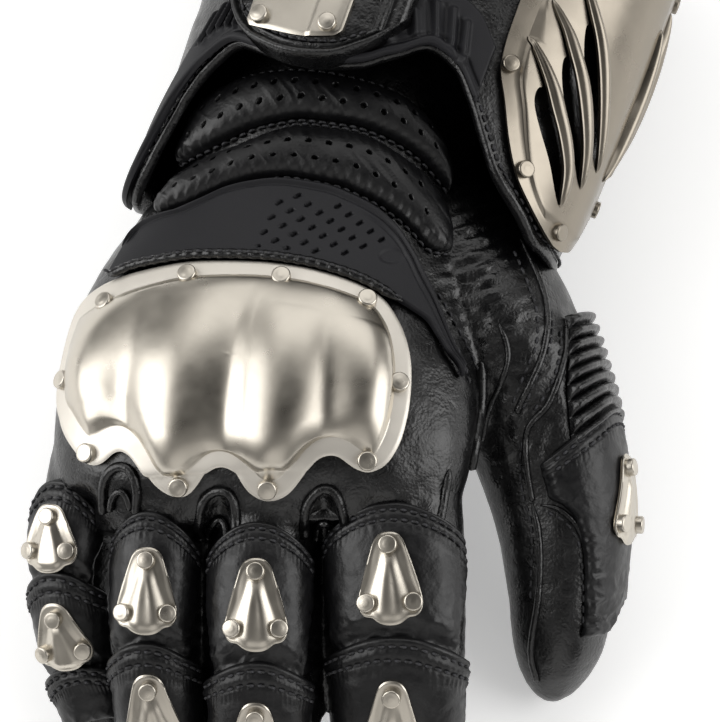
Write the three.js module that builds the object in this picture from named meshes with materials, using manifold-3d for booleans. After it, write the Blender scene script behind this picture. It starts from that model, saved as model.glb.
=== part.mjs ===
// Right-hand armoured leather motorcycle gauntlet, lying palm down with the fingers towards -Y.
// Millimetres, +Z up, origin at the middle of the flat under the heel of the palm.
// The thumb side is +X, the cuff lies towards +Y and leans to the thumb side.
import * as THREE from "three";
import { mergeVertices } from "three/addons/utils/BufferGeometryUtils.js";
import Module from "manifold-3d";

// Driving sizes of the glove.
const HAND_WIDTH = 108;
const GLOVE_LENGTH = 275;
const HAND_HEIGHT = 70;
const CUFF_WIDTH = 120;
const CUFF_HEIGHT = 80;

// Thicknesses of the materials.
const LEATHER = 2;
const CUFF_WALL = 2.4;
const PANEL = 1.6;
const RUBBER = 2.2;
const STEEL = 1;
const GAP = 0.3;
const SEAT = 0.65;

// Rivets: a short round stud with a slightly narrower face.
const RIVET_RADIUS = 2.3;
const RIVET_HEIGHT = 1.8;
const RIVET_SIDES = 6;

// Knuckle guard: a flat flange round a dome with four knuckle bulges.
const GUARD_STAND = 0.5;
const GUARD_SLOPE = 7;
const GUARD_DOME = 4.2;
const GUARD_BULGE = 2.2;

// Finger armour plates: length, widest width, ridge height.
const PLATE_LENGTH = 19.5;
const PLATE_WIDTH = 16.5;
const PLATE_RIDGE = 1.4;

// Scale-like back panels: how far one lies over the next, and how far its top edge bows.
const PANEL_OVERLAP = 3.5;
const PANEL_RAMP = 3.5;
const PANEL_ARCH = 8;

// Wrist rolls, thumb ribs and the wrist pad stand this far off the leather.
const ROLL_HEIGHT = 5;
const RIB_HEIGHT = 2.6;
const PAD_HEIGHT = 5;

// Louvred cuff plate: how far it stands off the leather, and how far its fins do.
const PLATE_STAND = 1.2;
const FIN_HEIGHT = 3;

// Names for the materials.
const finish = (color, roughness, metalness) =>
  new THREE.MeshStandardMaterial({ color, roughness, metalness });
const BLACK_LEATHER = finish(0x17171a, 0.55, 0);
const BACK_LEATHER = finish(0x1d1d20, 0.5, 0);
const DARK_RUBBER = finish(0x2b2b2f, 0.8, 0);
const SATIN_STEEL = finish(0xb9b3aa, 0.3, 1);

const wasm = await Module();
wasm.setup();

// Shares of the named sizes turned into millimetres.
const handRow = (row) => ({
  centre: new THREE.Vector3(
    row.across * HAND_WIDTH,
    row.along * GLOVE_LENGTH,
    row.height * HAND_HEIGHT,
  ),
  section: new THREE.Vector3(row.half * HAND_WIDTH, row.rise * HAND_HEIGHT, row.drop * HAND_HEIGHT),
  turn: row.turn,
});
const cuffRow = (row) => ({
  centre: new THREE.Vector3(
    row.across * CUFF_WIDTH,
    row.along * GLOVE_LENGTH,
    row.height * CUFF_HEIGHT,
  ),
  section: new THREE.Vector3(row.half * CUFF_WIDTH, row.rise * CUFF_HEIGHT, row.drop * CUFF_HEIGHT),
  turn: row.turn,
});

// Hand and forearm part, wrist end first. Across and half are shares of HAND_WIDTH, along of
// GLOVE_LENGTH, height, rise and drop of HAND_HEIGHT; turn is the roll in degrees.
const HAND_ROWS = [
  { across: 0.2593, along: 0.2836, height: 0.5, half: 0.3148, rise: 0.3286, drop: 0.4571, turn: 2 },
  { across: 0.1713, along: 0.1673, height: 0.5, half: 0.3333, rise: 0.3571, drop: 0.4571, turn: 3 },
  { across: 0.1296, along: 0.08, height: 0.4857, half: 0.3704, rise: 0.3714, drop: 0.5, turn: 4 },
  { across: 0.0833, along: 0.0073, height: 0.5, half: 0.4352, rise: 0.3857, drop: 0.5357, turn: 6 },
  { across: 0.0185, along: -0.08, height: 0.5429, half: 0.4907, rise: 0.3857, drop: 0.5286, turn: 8 },
  { across: -0.0046, along: -0.16, height: 0.5857, half: 0.5, rise: 0.3429, drop: 0.3429, turn: 8 },
  { across: -0.0046, along: -0.2109, height: 0.5714, half: 0.4722, rise: 0.3071, drop: 0.2714, turn: 8 },
  { across: -0.0046, along: -0.2473, height: 0.5571, half: 0.3981, rise: 0.2214, drop: 0.1857, turn: 8 },
].map(handRow);

// Fingers, from inside the knuckles to the tip, same columns as HAND_ROWS.
const INDEX_ROWS = [
  { across: 0.287, along: -0.1309, height: 0.7, half: 0.1435, rise: 0.1714, drop: 0.1714, turn: 8 },
  { across: 0.3009, along: -0.24, height: 0.6357, half: 0.1481, rise: 0.1714, drop: 0.1714, turn: 8 },
  { across: 0.3102, along: -0.3527, height: 0.5286, half: 0.1444, rise: 0.1643, drop: 0.1643, turn: 8 },
  { across: 0.3102, along: -0.4364, height: 0.2857, half: 0.1296, rise: 0.15, drop: 0.15, turn: 6 },
  { across: 0.3056, along: -0.5127, height: 0.0571, half: 0.1111, rise: 0.1357, drop: 0.1357, turn: 2 },
].map(handRow);
const MIDDLE_ROWS = [
  { across: 0.0139, along: -0.1309, height: 0.7, half: 0.1037, rise: 0.1643, drop: 0.1643, turn: 4 },
  { across: -0.0046, along: -0.2473, height: 0.6357, half: 0.1056, rise: 0.1643, drop: 0.1643, turn: 4 },
  { across: -0.0074, along: -0.3673, height: 0.5286, half: 0.1037, rise: 0.1571, drop: 0.1571, turn: 4 },
  { across: -0.0093, along: -0.4618, height: 0.2714, half: 0.0981, rise: 0.1429, drop: 0.1429, turn: 4 },
  { across: -0.0093, along: -0.5418, height: 0.0514, half: 0.0852, rise: 0.1286, drop: 0.1286, turn: 4 },
].map(handRow);
const RING_ROWS = [
  { across: -0.213, along: -0.1309, height: 0.6143, half: 0.0889, rise: 0.1571, drop: 0.1571, turn: 9 },
  { across: -0.2407, along: -0.24, height: 0.55, half: 0.0889, rise: 0.1571, drop: 0.1571, turn: 9 },
  { across: -0.25, along: -0.3491, height: 0.4429, half: 0.087, rise: 0.15, drop: 0.15, turn: 9 },
  { across: -0.2315, along: -0.4327, height: 0.2357, half: 0.0852, rise: 0.1429, drop: 0.1429, turn: 9 },
  { across: -0.2037, along: -0.5055, height: 0.0571, half: 0.0787, rise: 0.1286, drop: 0.1286, turn: 6 },
].map(handRow);
const LITTLE_ROWS = [
  { across: -0.4028, along: -0.1236, height: 0.4857, half: 0.0778, rise: 0.1371, drop: 0.1371, turn: 25 },
  { across: -0.4426, along: -0.2073, height: 0.4286, half: 0.0796, rise: 0.1371, drop: 0.1371, turn: 25 },
  { across: -0.45, along: -0.2836, height: 0.35, half: 0.0778, rise: 0.1329, drop: 0.1329, turn: 25 },
  { across: -0.4167, along: -0.3527, height: 0.2, half: 0.0759, rise: 0.1286, drop: 0.1286, turn: 22 },
  { across: -0.3611, along: -0.4109, height: 0.05, half: 0.0704, rise: 0.1186, drop: 0.1186, turn: 15 },
].map(handRow);

// Thumb, from inside the hand to the tip, same columns as HAND_ROWS.
const THUMB_ROWS = [
  { across: 0.3333, along: 0.1091, height: 0.5143, half: 0.1204, rise: 0.2143, drop: 0.2286, turn: -25 },
  { across: 0.4352, along: 0.0364, height: 0.5, half: 0.1574, rise: 0.2571, drop: 0.2571, turn: -33 },
  { across: 0.537, along: -0.0327, height: 0.4857, half: 0.1852, rise: 0.2857, drop: 0.2857, turn: -45 },
  { across: 0.625, along: -0.1127, height: 0.4143, half: 0.1667, rise: 0.2714, drop: 0.2714, turn: -60 },
  { across: 0.6759, along: -0.1818, height: 0.35, half: 0.1435, rise: 0.25, drop: 0.2429, turn: -66 },
  { across: 0.6944, along: -0.2436, height: 0.2929, half: 0.1296, rise: 0.2143, drop: 0.2071, turn: -66 },
  { across: 0.6944, along: -0.3091, height: 0.2071, half: 0.1157, rise: 0.1714, drop: 0.1643, turn: -60 },
  { across: 0.6759, along: -0.3745, height: 0.0786, half: 0.1019, rise: 0.1357, drop: 0.1357, turn: -50 },
].map(handRow);

// Cuff, open end first. Across and half are shares of CUFF_WIDTH, along of GLOVE_LENGTH,
// height, rise and drop of CUFF_HEIGHT.
const CUFF_ROWS = [
  { across: 0.4886, along: 0.4746, height: 0.5125, half: 0.5, rise: 0.475, drop: 0.525, turn: 0 },
  { across: 0.3583, along: 0.2943, height: 0.5125, half: 0.4833, rise: 0.4625, drop: 0.525, turn: 0 },
  { across: 0.2501, along: 0.1566, height: 0.5, half: 0.4667, rise: 0.45, drop: 0.5125, turn: 0 },
  { across: 0.1089, along: -0.0146, height: 0.475, half: 0.45, rise: 0.4125, drop: 0.4875, turn: 0 },
].map(cuffRow);

// Hand-side rim of the cuff: angle round the cuff in degrees, share of the cuff's length.
const CUFF_RIM = [
  [-90, 0.8],
  [-45, 0.785],
  [-10, 0.8],
  [10, 0.82],
  [26, 0.821],
  [40, 0.79],
  [52.6, 0.752],
  [61.5, 0.698],
  [70, 0.633],
  [76, 0.592],
  [83, 0.576],
  [89, 0.61],
  [94, 0.645],
  [100, 0.662],
  [108, 0.673],
  [120, 0.668],
  [130, 0.66],
  [140, 0.7],
  [150, 0.77],
  [158, 0.85],
  [168, 0.92],
  [180, 0.95],
  [195, 0.93],
  [225, 0.85],
  [270, 0.8],
];

// Knuckle guard outline on the hand: angle, share of the hand's length at the top and bottom edge.
const GUARD_OUTLINE = [
  [155.5, 0.745, 0.795],
  [152, 0.7, 0.845],
  [147, 0.684, 0.876],
  [142, 0.676, 0.897],
  [137, 0.668, 0.905],
  [131, 0.66, 0.89],
  [125, 0.652, 0.876],
  [118, 0.646, 0.905],
  [112, 0.641, 0.946],
  [106, 0.635, 0.962],
  [101, 0.63, 0.945],
  [95, 0.622, 0.912],
  [90.5, 0.613, 0.948],
  [86.5, 0.607, 0.97],
  [80.5, 0.604, 0.946],
  [76, 0.604, 0.912],
  [72, 0.607, 0.903],
  [68, 0.611, 0.915],
  [61.5, 0.628, 0.934],
  [57.2, 0.65, 0.925],
  [53.6, 0.69, 0.898],
  [51, 0.735, 0.865],
  [49.8, 0.775, 0.82],
];
// Edge of the raised dome inside the flange: angle, share of the length at its top and bottom.
const DOME_OUTLINE = [
  [155.5, 0.765, 0.775],
  [151, 0.73, 0.82],
  [146, 0.71, 0.853],
  [141, 0.7, 0.868],
  [136, 0.69, 0.868],
  [131, 0.683, 0.862],
  [125, 0.677, 0.85],
  [118, 0.67, 0.88],
  [112, 0.665, 0.915],
  [106, 0.662, 0.928],
  [100.6, 0.656, 0.907],
  [95, 0.648, 0.887],
  [90.9, 0.641, 0.91],
  [86.5, 0.635, 0.93],
  [80.5, 0.634, 0.912],
  [74.4, 0.637, 0.88],
  [69.5, 0.645, 0.888],
  [65.5, 0.653, 0.89],
  [60, 0.695, 0.88],
  [57, 0.757, 0.862],
  [54.8, 0.81, 0.835],
  [49.8, 0.825, 0.83],
];
// Angles of the four bulges and of the valleys between them.
const GUARD_BULGES = [136, 108, 88, 67];
const GUARD_VALLEYS = [160, 122, 97.5, 77, 46];
// Guard rivets: angle, share of the hand's length.
const GUARD_RIVETS = [
  [134, 0.686],
  [108, 0.655],
  [88.5, 0.63],
  [66.6, 0.634],
  [152.5, 0.77],
  [52.8, 0.8],
  [138, 0.885],
  [106, 0.944],
  [87, 0.952],
  [62.4, 0.912],
];

// Rubber yoke above the guard: angle, top edge, bottom edge as shares of the hand's length.
const YOKE_OUTLINE = [
  [142, 0.632, 0.664],
  [135, 0.59, 0.656],
  [128, 0.558, 0.647],
  [120, 0.51, 0.64],
  [112, 0.465, 0.632],
  [103, 0.43, 0.622],
  [95, 0.41, 0.612],
  [87, 0.415, 0.597],
  [79, 0.427, 0.594],
  [70, 0.455, 0.597],
  [61.5, 0.484, 0.605],
  [53, 0.52, 0.615],
  [45, 0.557, 0.62],
  [38, 0.6, 0.65],
  [30, 0.66, 0.71],
  [24, 0.71, 0.75],
];

// Wrist rolls: angle, top edge, bottom edge as shares of the hand's length.
const UPPER_ROLL = [
  [155, 0.325, 0.36],
  [145, 0.276, 0.35],
  [130, 0.24, 0.318],
  [115, 0.222, 0.301],
  [100, 0.213, 0.29],
  [85, 0.21, 0.285],
  [70, 0.213, 0.284],
  [55, 0.22, 0.284],
  [42, 0.24, 0.288],
  [33, 0.268, 0.298],
];
const LOWER_ROLL = [
  [155, 0.368, 0.44],
  [145, 0.357, 0.46],
  [130, 0.325, 0.455],
  [115, 0.308, 0.43],
  [100, 0.297, 0.398],
  [85, 0.292, 0.397],
  [70, 0.291, 0.4],
  [55, 0.291, 0.402],
  [42, 0.295, 0.403],
  [33, 0.306, 0.4],
];

// Pad on the cuff under the wrist plate: angle, end away from the hand, end at the hand.
const PAD_OUTLINE = [
  [134, 0.36, 0.53],
  [128, 0.31, 0.6],
  [120, 0.3, 0.635],
  [110, 0.3, 0.648],
  [101, 0.3, 0.636],
  [94, 0.31, 0.6],
  [89, 0.36, 0.53],
];
// Steel wrist plate on the pad: angle, end away from the hand, end at the hand.
const WRIST_PLATE_OUTLINE = [
  [124, 0.37, 0.575],
  [122, 0.36, 0.59],
  [111, 0.36, 0.588],
  [100.5, 0.36, 0.566],
  [99, 0.37, 0.55],
];
const WRIST_PLATE_RIVETS = [
  [119.5, 0.56],
  [103, 0.545],
  [120, 0.385],
  [102.5, 0.385],
];

// Louvred plate on the thumb side of the cuff: share of the cuff's length, edge angles.
const CUFF_PLATE_OUTLINE = [
  [0.12, 46, 6],
  [0.16, 54, -2],
  [0.27, 62, -10],
  [0.42, 65.5, -15],
  [0.55, 64.5, -15],
  [0.66, 55.5, -10.5],
  [0.75, 38, 1],
  [0.815, 22, 14],
];
const CUFF_PLATE_RIVETS = [
  [62, 0.53],
  [50, 0.665],
  [19, 0.775],
  [-5, 0.68],
  [-11.5, 0.56],
  [-10.5, 0.42],
  [-3, 0.24],
  [57, 0.27],
];
// Vents and the fins beside them: angle at the hand end, angle at the far end, share of the
// cuff's length at the hand end and at the far end.
const LOUVRES = [
  [45, 53, 0.665, 0.42],
  [35, 44, 0.7, 0.34],
  [24, 34, 0.71, 0.26],
  [6, -1, 0.69, 0.28],
  [-2, -8, 0.62, 0.36],
];

// A catmull-rom swept body with a rounded section: angle 0 faces the thumb side, 90 the back.
class Tube {
  constructor(rows, { power = 2.4, tip = 1, floor = 0 } = {}) {
    this.centres = new THREE.CatmullRomCurve3(rows.map((r) => r.centre), false, "catmullrom", 0.5);
    this.sections = new THREE.CatmullRomCurve3(rows.map((r) => r.section), false, "catmullrom", 0.5);
    const turns = rows.map((r) => new THREE.Vector3(r.turn, 0, 0));
    this.turns = new THREE.CatmullRomCurve3(turns, false, "catmullrom", 0.5);
    this.power = power;
    this.tip = tip;
    this.floor = floor;
    this.length = this.centres.getLength();
  }

  // Centre, directions and half sizes at a share of the length.
  frame(share) {
    const t = this.centres.getUtoTmapping(THREE.MathUtils.clamp(share, 0, 1));
    const before = this.centres.getPoint(Math.max(0, t - 1e-3));
    const ahead = this.centres.getPoint(Math.min(1, t + 1e-3)).sub(before).normalize();
    const side = new THREE.Vector3(0, 0, 1).cross(ahead).normalize();
    const up = ahead.clone().cross(side);
    const turn = THREE.MathUtils.degToRad(this.turns.getPoint(t).x);
    const rolledSide = side.clone().multiplyScalar(Math.cos(turn)).addScaledVector(up, Math.sin(turn));
    const rolledUp = up.multiplyScalar(Math.cos(turn)).addScaledVector(side, -Math.sin(turn));
    const section = this.sections.getPoint(t);
    return { centre: this.centres.getPoint(t), ahead, side: rolledSide, up: rolledUp, section };
  }

  // Point at a share of the length and an angle, a distance off the skin.
  at(share, angle, off = 0, floor = this.floor) {
    const { centre, side, up, section } = this.frame(share);
    let size = 1;
    if (share > this.tip) {
      const q = (share - this.tip) / (1 - this.tip);
      size = Math.sqrt(Math.max(0.02, 1 - q * q));
    }
    const a = THREE.MathUtils.degToRad(angle);
    const bent = (v) => Math.sign(v) * Math.abs(v) ** (2 / this.power);
    const x = bent(Math.cos(a)) * (section.x + off) * size;
    const y = bent(Math.sin(a)) * ((Math.sin(a) > 0 ? section.y : section.z) + off) * size;
    const point = centre.clone().addScaledVector(side, x).addScaledVector(up, y);
    if (point.z < floor) point.z = floor;
    return point;
  }

  // Outward direction of the skin.
  normal(share, angle) {
    const e = 0.004;
    const along = this.at(Math.min(1, share + e), angle, 0, -1e3);
    along.sub(this.at(Math.max(0, share - e), angle, 0, -1e3));
    const round = this.at(share, angle + 1, 0, -1e3).sub(this.at(share, angle - 1, 0, -1e3));
    return round.cross(along).normalize();
  }

  // Angle in degrees that spans a width in millimetres round the skin.
  spread(share, angle, width) {
    const arc = this.at(share, angle + 4).distanceTo(this.at(share, angle - 4));
    return (width * 8) / arc;
  }
}

// A closed solid from vertices and triangles, turned to face out.
function solidOf(points, faces) {
  const coords = new Float32Array(points.length * 3);
  points.forEach((p, i) => p.toArray(coords, i * 3));
  const build = (list) => {
    const mesh = new wasm.Mesh({
      numProp: 3,
      vertProperties: coords,
      triVerts: new Uint32Array(list.flat()),
    });
    mesh.merge();
    return new wasm.Manifold(mesh);
  };
  const made = build(faces);
  if (made.volume() > 0) return made;
  return build(faces.map(([a, b, c]) => [a, c, b]));
}

// A solid from a three.js geometry placed by a matrix.
function solidFromGeometry(geometry, matrix) {
  const bare = new THREE.BufferGeometry();
  bare.setAttribute("position", geometry.getAttribute("position").clone());
  bare.setIndex(geometry.index);
  const merged = mergeVertices(bare.applyMatrix4(matrix), 1e-4);
  const points = [];
  const position = merged.getAttribute("position");
  for (let i = 0; i < position.count; i += 1) {
    points.push(new THREE.Vector3().fromBufferAttribute(position, i));
  }
  const faces = [];
  for (let i = 0; i < merged.index.count; i += 3) {
    faces.push([merged.index.getX(i), merged.index.getX(i + 1), merged.index.getX(i + 2)]);
  }
  return solidOf(points, faces);
}

// Closed body through rings of equal count, its two ends closed by fans.
function loft(rings) {
  const count = rings[0].length;
  const points = rings.flat();
  const faces = [];
  for (let j = 0; j + 1 < rings.length; j += 1) {
    for (let i = 0; i < count; i += 1) {
      const a = j * count + i;
      const b = j * count + ((i + 1) % count);
      faces.push([a, b, b + count], [a, b + count, a + count]);
    }
  }
  [0, rings.length - 1].forEach((j) => {
    const middle = new THREE.Vector3();
    rings[j].forEach((p) => middle.addScaledVector(p, 1 / count));
    points.push(middle);
    for (let i = 0; i < count; i += 1) {
      const pair = [j * count + i, j * count + ((i + 1) % count)];
      faces.push(j === 0 ? [points.length - 1, pair[1], pair[0]] : [points.length - 1, ...pair]);
    }
  });
  return solidOf(points, faces);
}

// Solid body of a tube, grown by an offset; an open body is carried on past its first ring.
function body(tube, { off = 0, stations, segments, floor = 0, open = 0, stop = 1 }) {
  const ring = (share) => {
    const points = [];
    for (let i = 0; i < segments; i += 1) points.push(tube.at(share, (360 * i) / segments, off, floor));
    return points;
  };
  const rings = stations.map((share) => ring(share * stop));
  if (open > 0) {
    const back = tube.frame(0).ahead.multiplyScalar(-open);
    rings.unshift(rings[0].map((p) => p.clone().add(back)));
  }
  return loft(rings);
}

// Closed slab over a grid of surface points with a low and a high side.
function slab(columns, rows, pair) {
  const points = [];
  const low = [];
  const high = [];
  for (let i = 0; i <= columns; i += 1) {
    low.push([]);
    high.push([]);
    for (let j = 0; j <= rows; j += 1) {
      const [under, over] = pair(i, j);
      low[i].push(points.push(under) - 1);
      high[i].push(points.push(over) - 1);
    }
  }
  const faces = [];
  const quad = (a, b, c, d) => faces.push([a, b, c], [a, c, d]);
  for (let i = 0; i < columns; i += 1) {
    for (let j = 0; j < rows; j += 1) {
      quad(high[i][j], high[i + 1][j], high[i + 1][j + 1], high[i][j + 1]);
      quad(low[i][j], low[i][j + 1], low[i + 1][j + 1], low[i + 1][j]);
    }
    quad(low[i][0], low[i + 1][0], high[i + 1][0], high[i][0]);
    quad(high[i][rows], high[i + 1][rows], low[i + 1][rows], low[i][rows]);
  }
  for (let j = 0; j < rows; j += 1) {
    quad(high[0][j], high[0][j + 1], low[0][j + 1], low[0][j]);
    quad(low[columns][j], low[columns][j + 1], high[columns][j + 1], high[columns][j]);
  }
  return solidOf(points, faces);
}

// The biggest piece of a solid that a cut may have split.
const biggest = (solid) => solid.decompose().sort((a, b) => b.volume() - a.volume())[0];

// Value between rows of a table sorted on its first column, either way.
function between(table, key, column) {
  const rows = [...table].sort((a, b) => a[0] - b[0]);
  if (key <= rows[0][0]) return rows[0][column];
  for (let i = 0; i + 1 < rows.length; i += 1) {
    if (key <= rows[i + 1][0]) {
      const w = (key - rows[i][0]) / (rows[i + 1][0] - rows[i][0]);
      return rows[i][column] * (1 - w) + rows[i + 1][column] * w;
    }
  }
  return rows.at(-1)[column];
}

const smooth = (low, high, value) => THREE.MathUtils.smoothstep(value, low, high);

// A rivet standing on a point of a skin, sunk a little into what it fastens.
function rivet(point, normal, radius = RIVET_RADIUS) {
  const sunk = STEEL * 0.6;
  const shape = new THREE.CylinderGeometry(radius * 0.86, radius, RIVET_HEIGHT + sunk, RIVET_SIDES);
  shape.translate(0, (RIVET_HEIGHT - sunk) / 2, 0);
  const turn = new THREE.Quaternion().setFromUnitVectors(new THREE.Vector3(0, 1, 0), normal);
  return solidFromGeometry(shape, new THREE.Matrix4().compose(point, turn, new THREE.Vector3(1, 1, 1)));
}

const group = new THREE.Group();
group.name = "motorcycle_glove";

// Adds one finished solid to the group as a named mesh.
function add(name, solid, material) {
  const { numProp, vertProperties, triVerts } = solid.getMesh();
  const positions = new Float32Array((vertProperties.length / numProp) * 3);
  for (let i = 0; i < positions.length / 3; i += 1) {
    positions.set(vertProperties.subarray(i * numProp, i * numProp + 3), i * 3);
  }
  const geometry = new THREE.BufferGeometry();
  geometry.setAttribute("position", new THREE.BufferAttribute(positions, 3));
  geometry.setIndex(new THREE.BufferAttribute(triVerts, 1));
  geometry.computeVertexNormals();
  const mesh = new THREE.Mesh(geometry, material);
  mesh.name = name;
  group.add(mesh);
}

// Tubes of the hand, the digits and the cuff.
const hand = new Tube(HAND_ROWS);
const thumb = new Tube(THUMB_ROWS, { tip: 0.86 });
const fingers = {
  index: new Tube(INDEX_ROWS, { tip: 0.9 }),
  middle: new Tube(MIDDLE_ROWS, { tip: 0.9 }),
  ring: new Tube(RING_ROWS, { tip: 0.9 }),
  little: new Tube(LITTLE_ROWS, { tip: 0.88 }),
};
const cuff = new Tube(CUFF_ROWS, { power: 2.3 });

// Shares of the length where sections are set, and how many sides each section has.
const HAND_GRID = { stations: [0, 0.14, 0.26, 0.37, 0.48, 0.64, 0.77, 0.87, 0.94, 1], segments: 22 };
const HAND_HOLLOW = { stations: [0, 0.32, 0.64, 0.78, 0.9, 1], segments: 12 };
const FINGER_GRID = { stations: [0, 0.3, 0.48, 0.62, 0.76, 0.9, 0.965, 1], segments: 12 };
const FINGER_HOLLOW = { stations: [0, 0.31, 0.5, 0.64, 0.79, 0.94, 1], segments: 8 };
const THUMB_GRID = { stations: [0, 0.15, 0.28, 0.4, 0.52, 0.64, 0.75, 0.86, 0.95, 1], segments: 12 };
const THUMB_HOLLOW = { stations: [0, 0.15, 0.28, 0.4, 0.52, 0.64, 0.75, 0.86, 1], segments: 8 };

const handBody = (off, more = {}) => body(hand, { off, ...HAND_GRID, ...more });
const digitBody = (tube, off, more = {}) =>
  body(tube, { off, ...(tube === thumb ? THUMB_GRID : FINGER_GRID), ...more });
const hollow = (tube) =>
  digitBody(tube, -LEATHER, {
    floor: LEATHER,
    open: 2,
    stop: 1 - (3 * LEATHER) / tube.length,
    ...(tube === thumb ? THUMB_HOLLOW : FINGER_HOLLOW),
  });

const digits = [...Object.values(fingers), thumb];
const handOuter = handBody(0);
const handClear = handBody(GAP, { floor: -5, open: 2 });
const handHollow = handBody(-LEATHER, {
  floor: LEATHER,
  open: 2,
  stop: 1 - LEATHER / hand.length,
  ...HAND_HOLLOW,
});

// Leather of the hand, hollow, open at the wrist and into every digit.
let palm = handOuter.subtract(handHollow);
digits.forEach((tube) => {
  palm = palm.subtract(hollow(tube));
});
add("palm_shell", biggest(palm), BLACK_LEATHER);

// Leather of each digit.
function digitShell(tube) {
  return biggest(digitBody(tube, 0).subtract(hollow(tube)).subtract(handClear));
}
Object.entries(fingers).forEach(([name, tube]) => {
  add(`${name}_finger_shell`, digitShell(tube), BLACK_LEATHER);
});
add("thumb_shell", digitShell(thumb), BLACK_LEATHER);

// Cuff: a sleeve whose hand-side rim follows the arched outline.
const CUFF_SEGMENTS = 32;
const CUFF_STEPS = 3;
const rimAt = (angle) => between(CUFF_RIM, angle > 270 ? angle - 360 : angle, 1);
function cuffSleeve() {
  const rings = [];
  const ringAt = (step, off, floor) => {
    const points = [];
    for (let i = 0; i < CUFF_SEGMENTS; i += 1) {
      const angle = (360 * i) / CUFF_SEGMENTS;
      points.push(cuff.at((rimAt(angle) * step) / CUFF_STEPS, angle, off, floor));
    }
    rings.push(points);
  };
  for (let step = 0; step <= CUFF_STEPS; step += 1) ringAt(step, 0, 0);
  for (let step = CUFF_STEPS; step >= 0; step -= 1) ringAt(step, -CUFF_WALL, CUFF_WALL);
  const count = CUFF_SEGMENTS;
  const faces = [];
  rings.forEach((_, j) => {
    const next = (j + 1) % rings.length;
    for (let i = 0; i < count; i += 1) {
      const k = (i + 1) % count;
      faces.push([j * count + i, j * count + k, next * count + k]);
      faces.push([j * count + i, next * count + k, next * count + i]);
    }
  });
  return solidOf(rings.flat(), faces);
}
const thumbClear = digitBody(thumb, GAP, { floor: -5 });
add("cuff_shell", biggest(cuffSleeve().subtract(handClear).subtract(thumbClear)), BLACK_LEATHER);

// Height of a back panel over the skin: raised at its top edge, where it lies over the one above.
const archAt = (angle) => PANEL_ARCH * (1 - Math.sin(THREE.MathUtils.degToRad(angle)));
function panelLow(tube, panel, share, angle) {
  const run = (share - panel.from) * tube.length - archAt(angle);
  return SEAT + (PANEL + GAP) * (1 - smooth(PANEL_OVERLAP, PANEL_OVERLAP + PANEL_RAMP, run));
}

// One scale-like back panel between two shares of a digit's length.
function backPanel(tube, panel, columns = 6) {
  const span = (panel.to - panel.from) * tube.length;
  const ramped = PANEL_OVERLAP + PANEL_RAMP;
  const runs = [0, PANEL_OVERLAP, ramped];
  const steps = Math.max(2, Math.ceil((span - ramped) / 9));
  for (let k = 1; k <= steps; k += 1) runs.push(ramped + ((span - ramped) * k) / steps);
  const [first, last] = panel.angles;
  return slab(columns, runs.length - 1, (i, j) => {
    const angle = first + ((last - first) * i) / columns;
    const share = panel.from + (runs[j] + archAt(angle)) / tube.length;
    const low = panelLow(tube, panel, share, angle);
    return [tube.at(share, angle, low), tube.at(share, angle, low + PANEL)];
  });
}

// Half width of an armour plate along its length, as a share of PLATE_WIDTH.
const PLATE_SHAPE = [
  [0, 0.13],
  [0.08, 0.245],
  [0.5, 0.4],
  [0.86, 0.5],
  [1, 0.3],
];

// Armour plate on a panel: a rounded triangle with a raised centre ridge and three rivets.
function armourPlate(tube, panel, plate) {
  const length = PLATE_LENGTH * plate.long;
  const skin = (share, angle) => panelLow(tube, panel, share, angle) + PANEL + GAP;
  const spot = (along, across) => {
    const share = plate.from + (along * length) / tube.length;
    const angle = plate.angle - tube.spread(share, plate.angle, across * PLATE_WIDTH * plate.wide);
    return [share, angle];
  };
  const across = [-1, -0.3, 0.3, 1];
  let made = slab(across.length - 1, PLATE_SHAPE.length - 1, (i, j) => {
    const [along, half] = PLATE_SHAPE[j];
    const [share, angle] = spot(along, across[i] * half);
    const low = skin(share, angle);
    const ridge = PLATE_RIDGE * (Math.abs(across[i]) < 1 ? 1 : 0) * smooth(0.2, 0.5, along);
    return [tube.at(share, angle, low), tube.at(share, angle, low + STEEL + ridge)];
  });
  [
    [0.16, 0],
    [0.84, 0.33],
    [0.84, -0.33],
  ].forEach(([along, side]) => {
    const [share, angle] = spot(along, side);
    const point = tube.at(share, angle, skin(share, angle) + STEEL);
    made = made.add(rivet(point, tube.normal(share, angle), RIVET_RADIUS * 0.9 * plate.wide));
  });
  return made;
}

// Back panels and armour plates of each digit, as shares of its length.
const lap = (tube) => (PANEL_OVERLAP - GAP) / tube.length;
const ARMOUR = {
  index: { panels: [0.253, 0.527, 0.8], plates: [0.314, 0.58], angles: [8, 172], long: 1, wide: 1 },
  middle: { panels: [0.267, 0.523, 0.78], plates: [0.348, 0.588], angles: [12, 168], long: 0.97, wide: 0.96 },
  ring: { panels: [0.257, 0.532, 0.79], plates: [0.342, 0.585], angles: [12, 168], long: 0.94, wide: 0.93 },
  little: { panels: [0.23, 0.476, 0.718, 0.88], plates: [0.3, 0.545], angles: [14, 166], long: 0.7, wide: 0.84 },
};
Object.entries(ARMOUR).forEach(([name, armour]) => {
  const tube = fingers[name];
  const last = armour.panels.length - 2;
  armour.panels.slice(0, -1).forEach((from, n) => {
    const to = armour.panels[n + 1] + (n < last ? lap(tube) : 0);
    const panel = { from, to, angles: armour.angles };
    let made = backPanel(tube, panel);
    if (n === 0) made = biggest(made.subtract(handClear));
    add(`${name}_back_panel_${n + 1}`, made, BACK_LEATHER);
    if (n < armour.plates.length) {
      const plate = { from: armour.plates[n], angle: 90, long: armour.long, wide: armour.wide };
      add(`${name}_armour_plate_${n + 1}`, armourPlate(tube, panel, plate), SATIN_STEEL);
    }
  });
});

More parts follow.
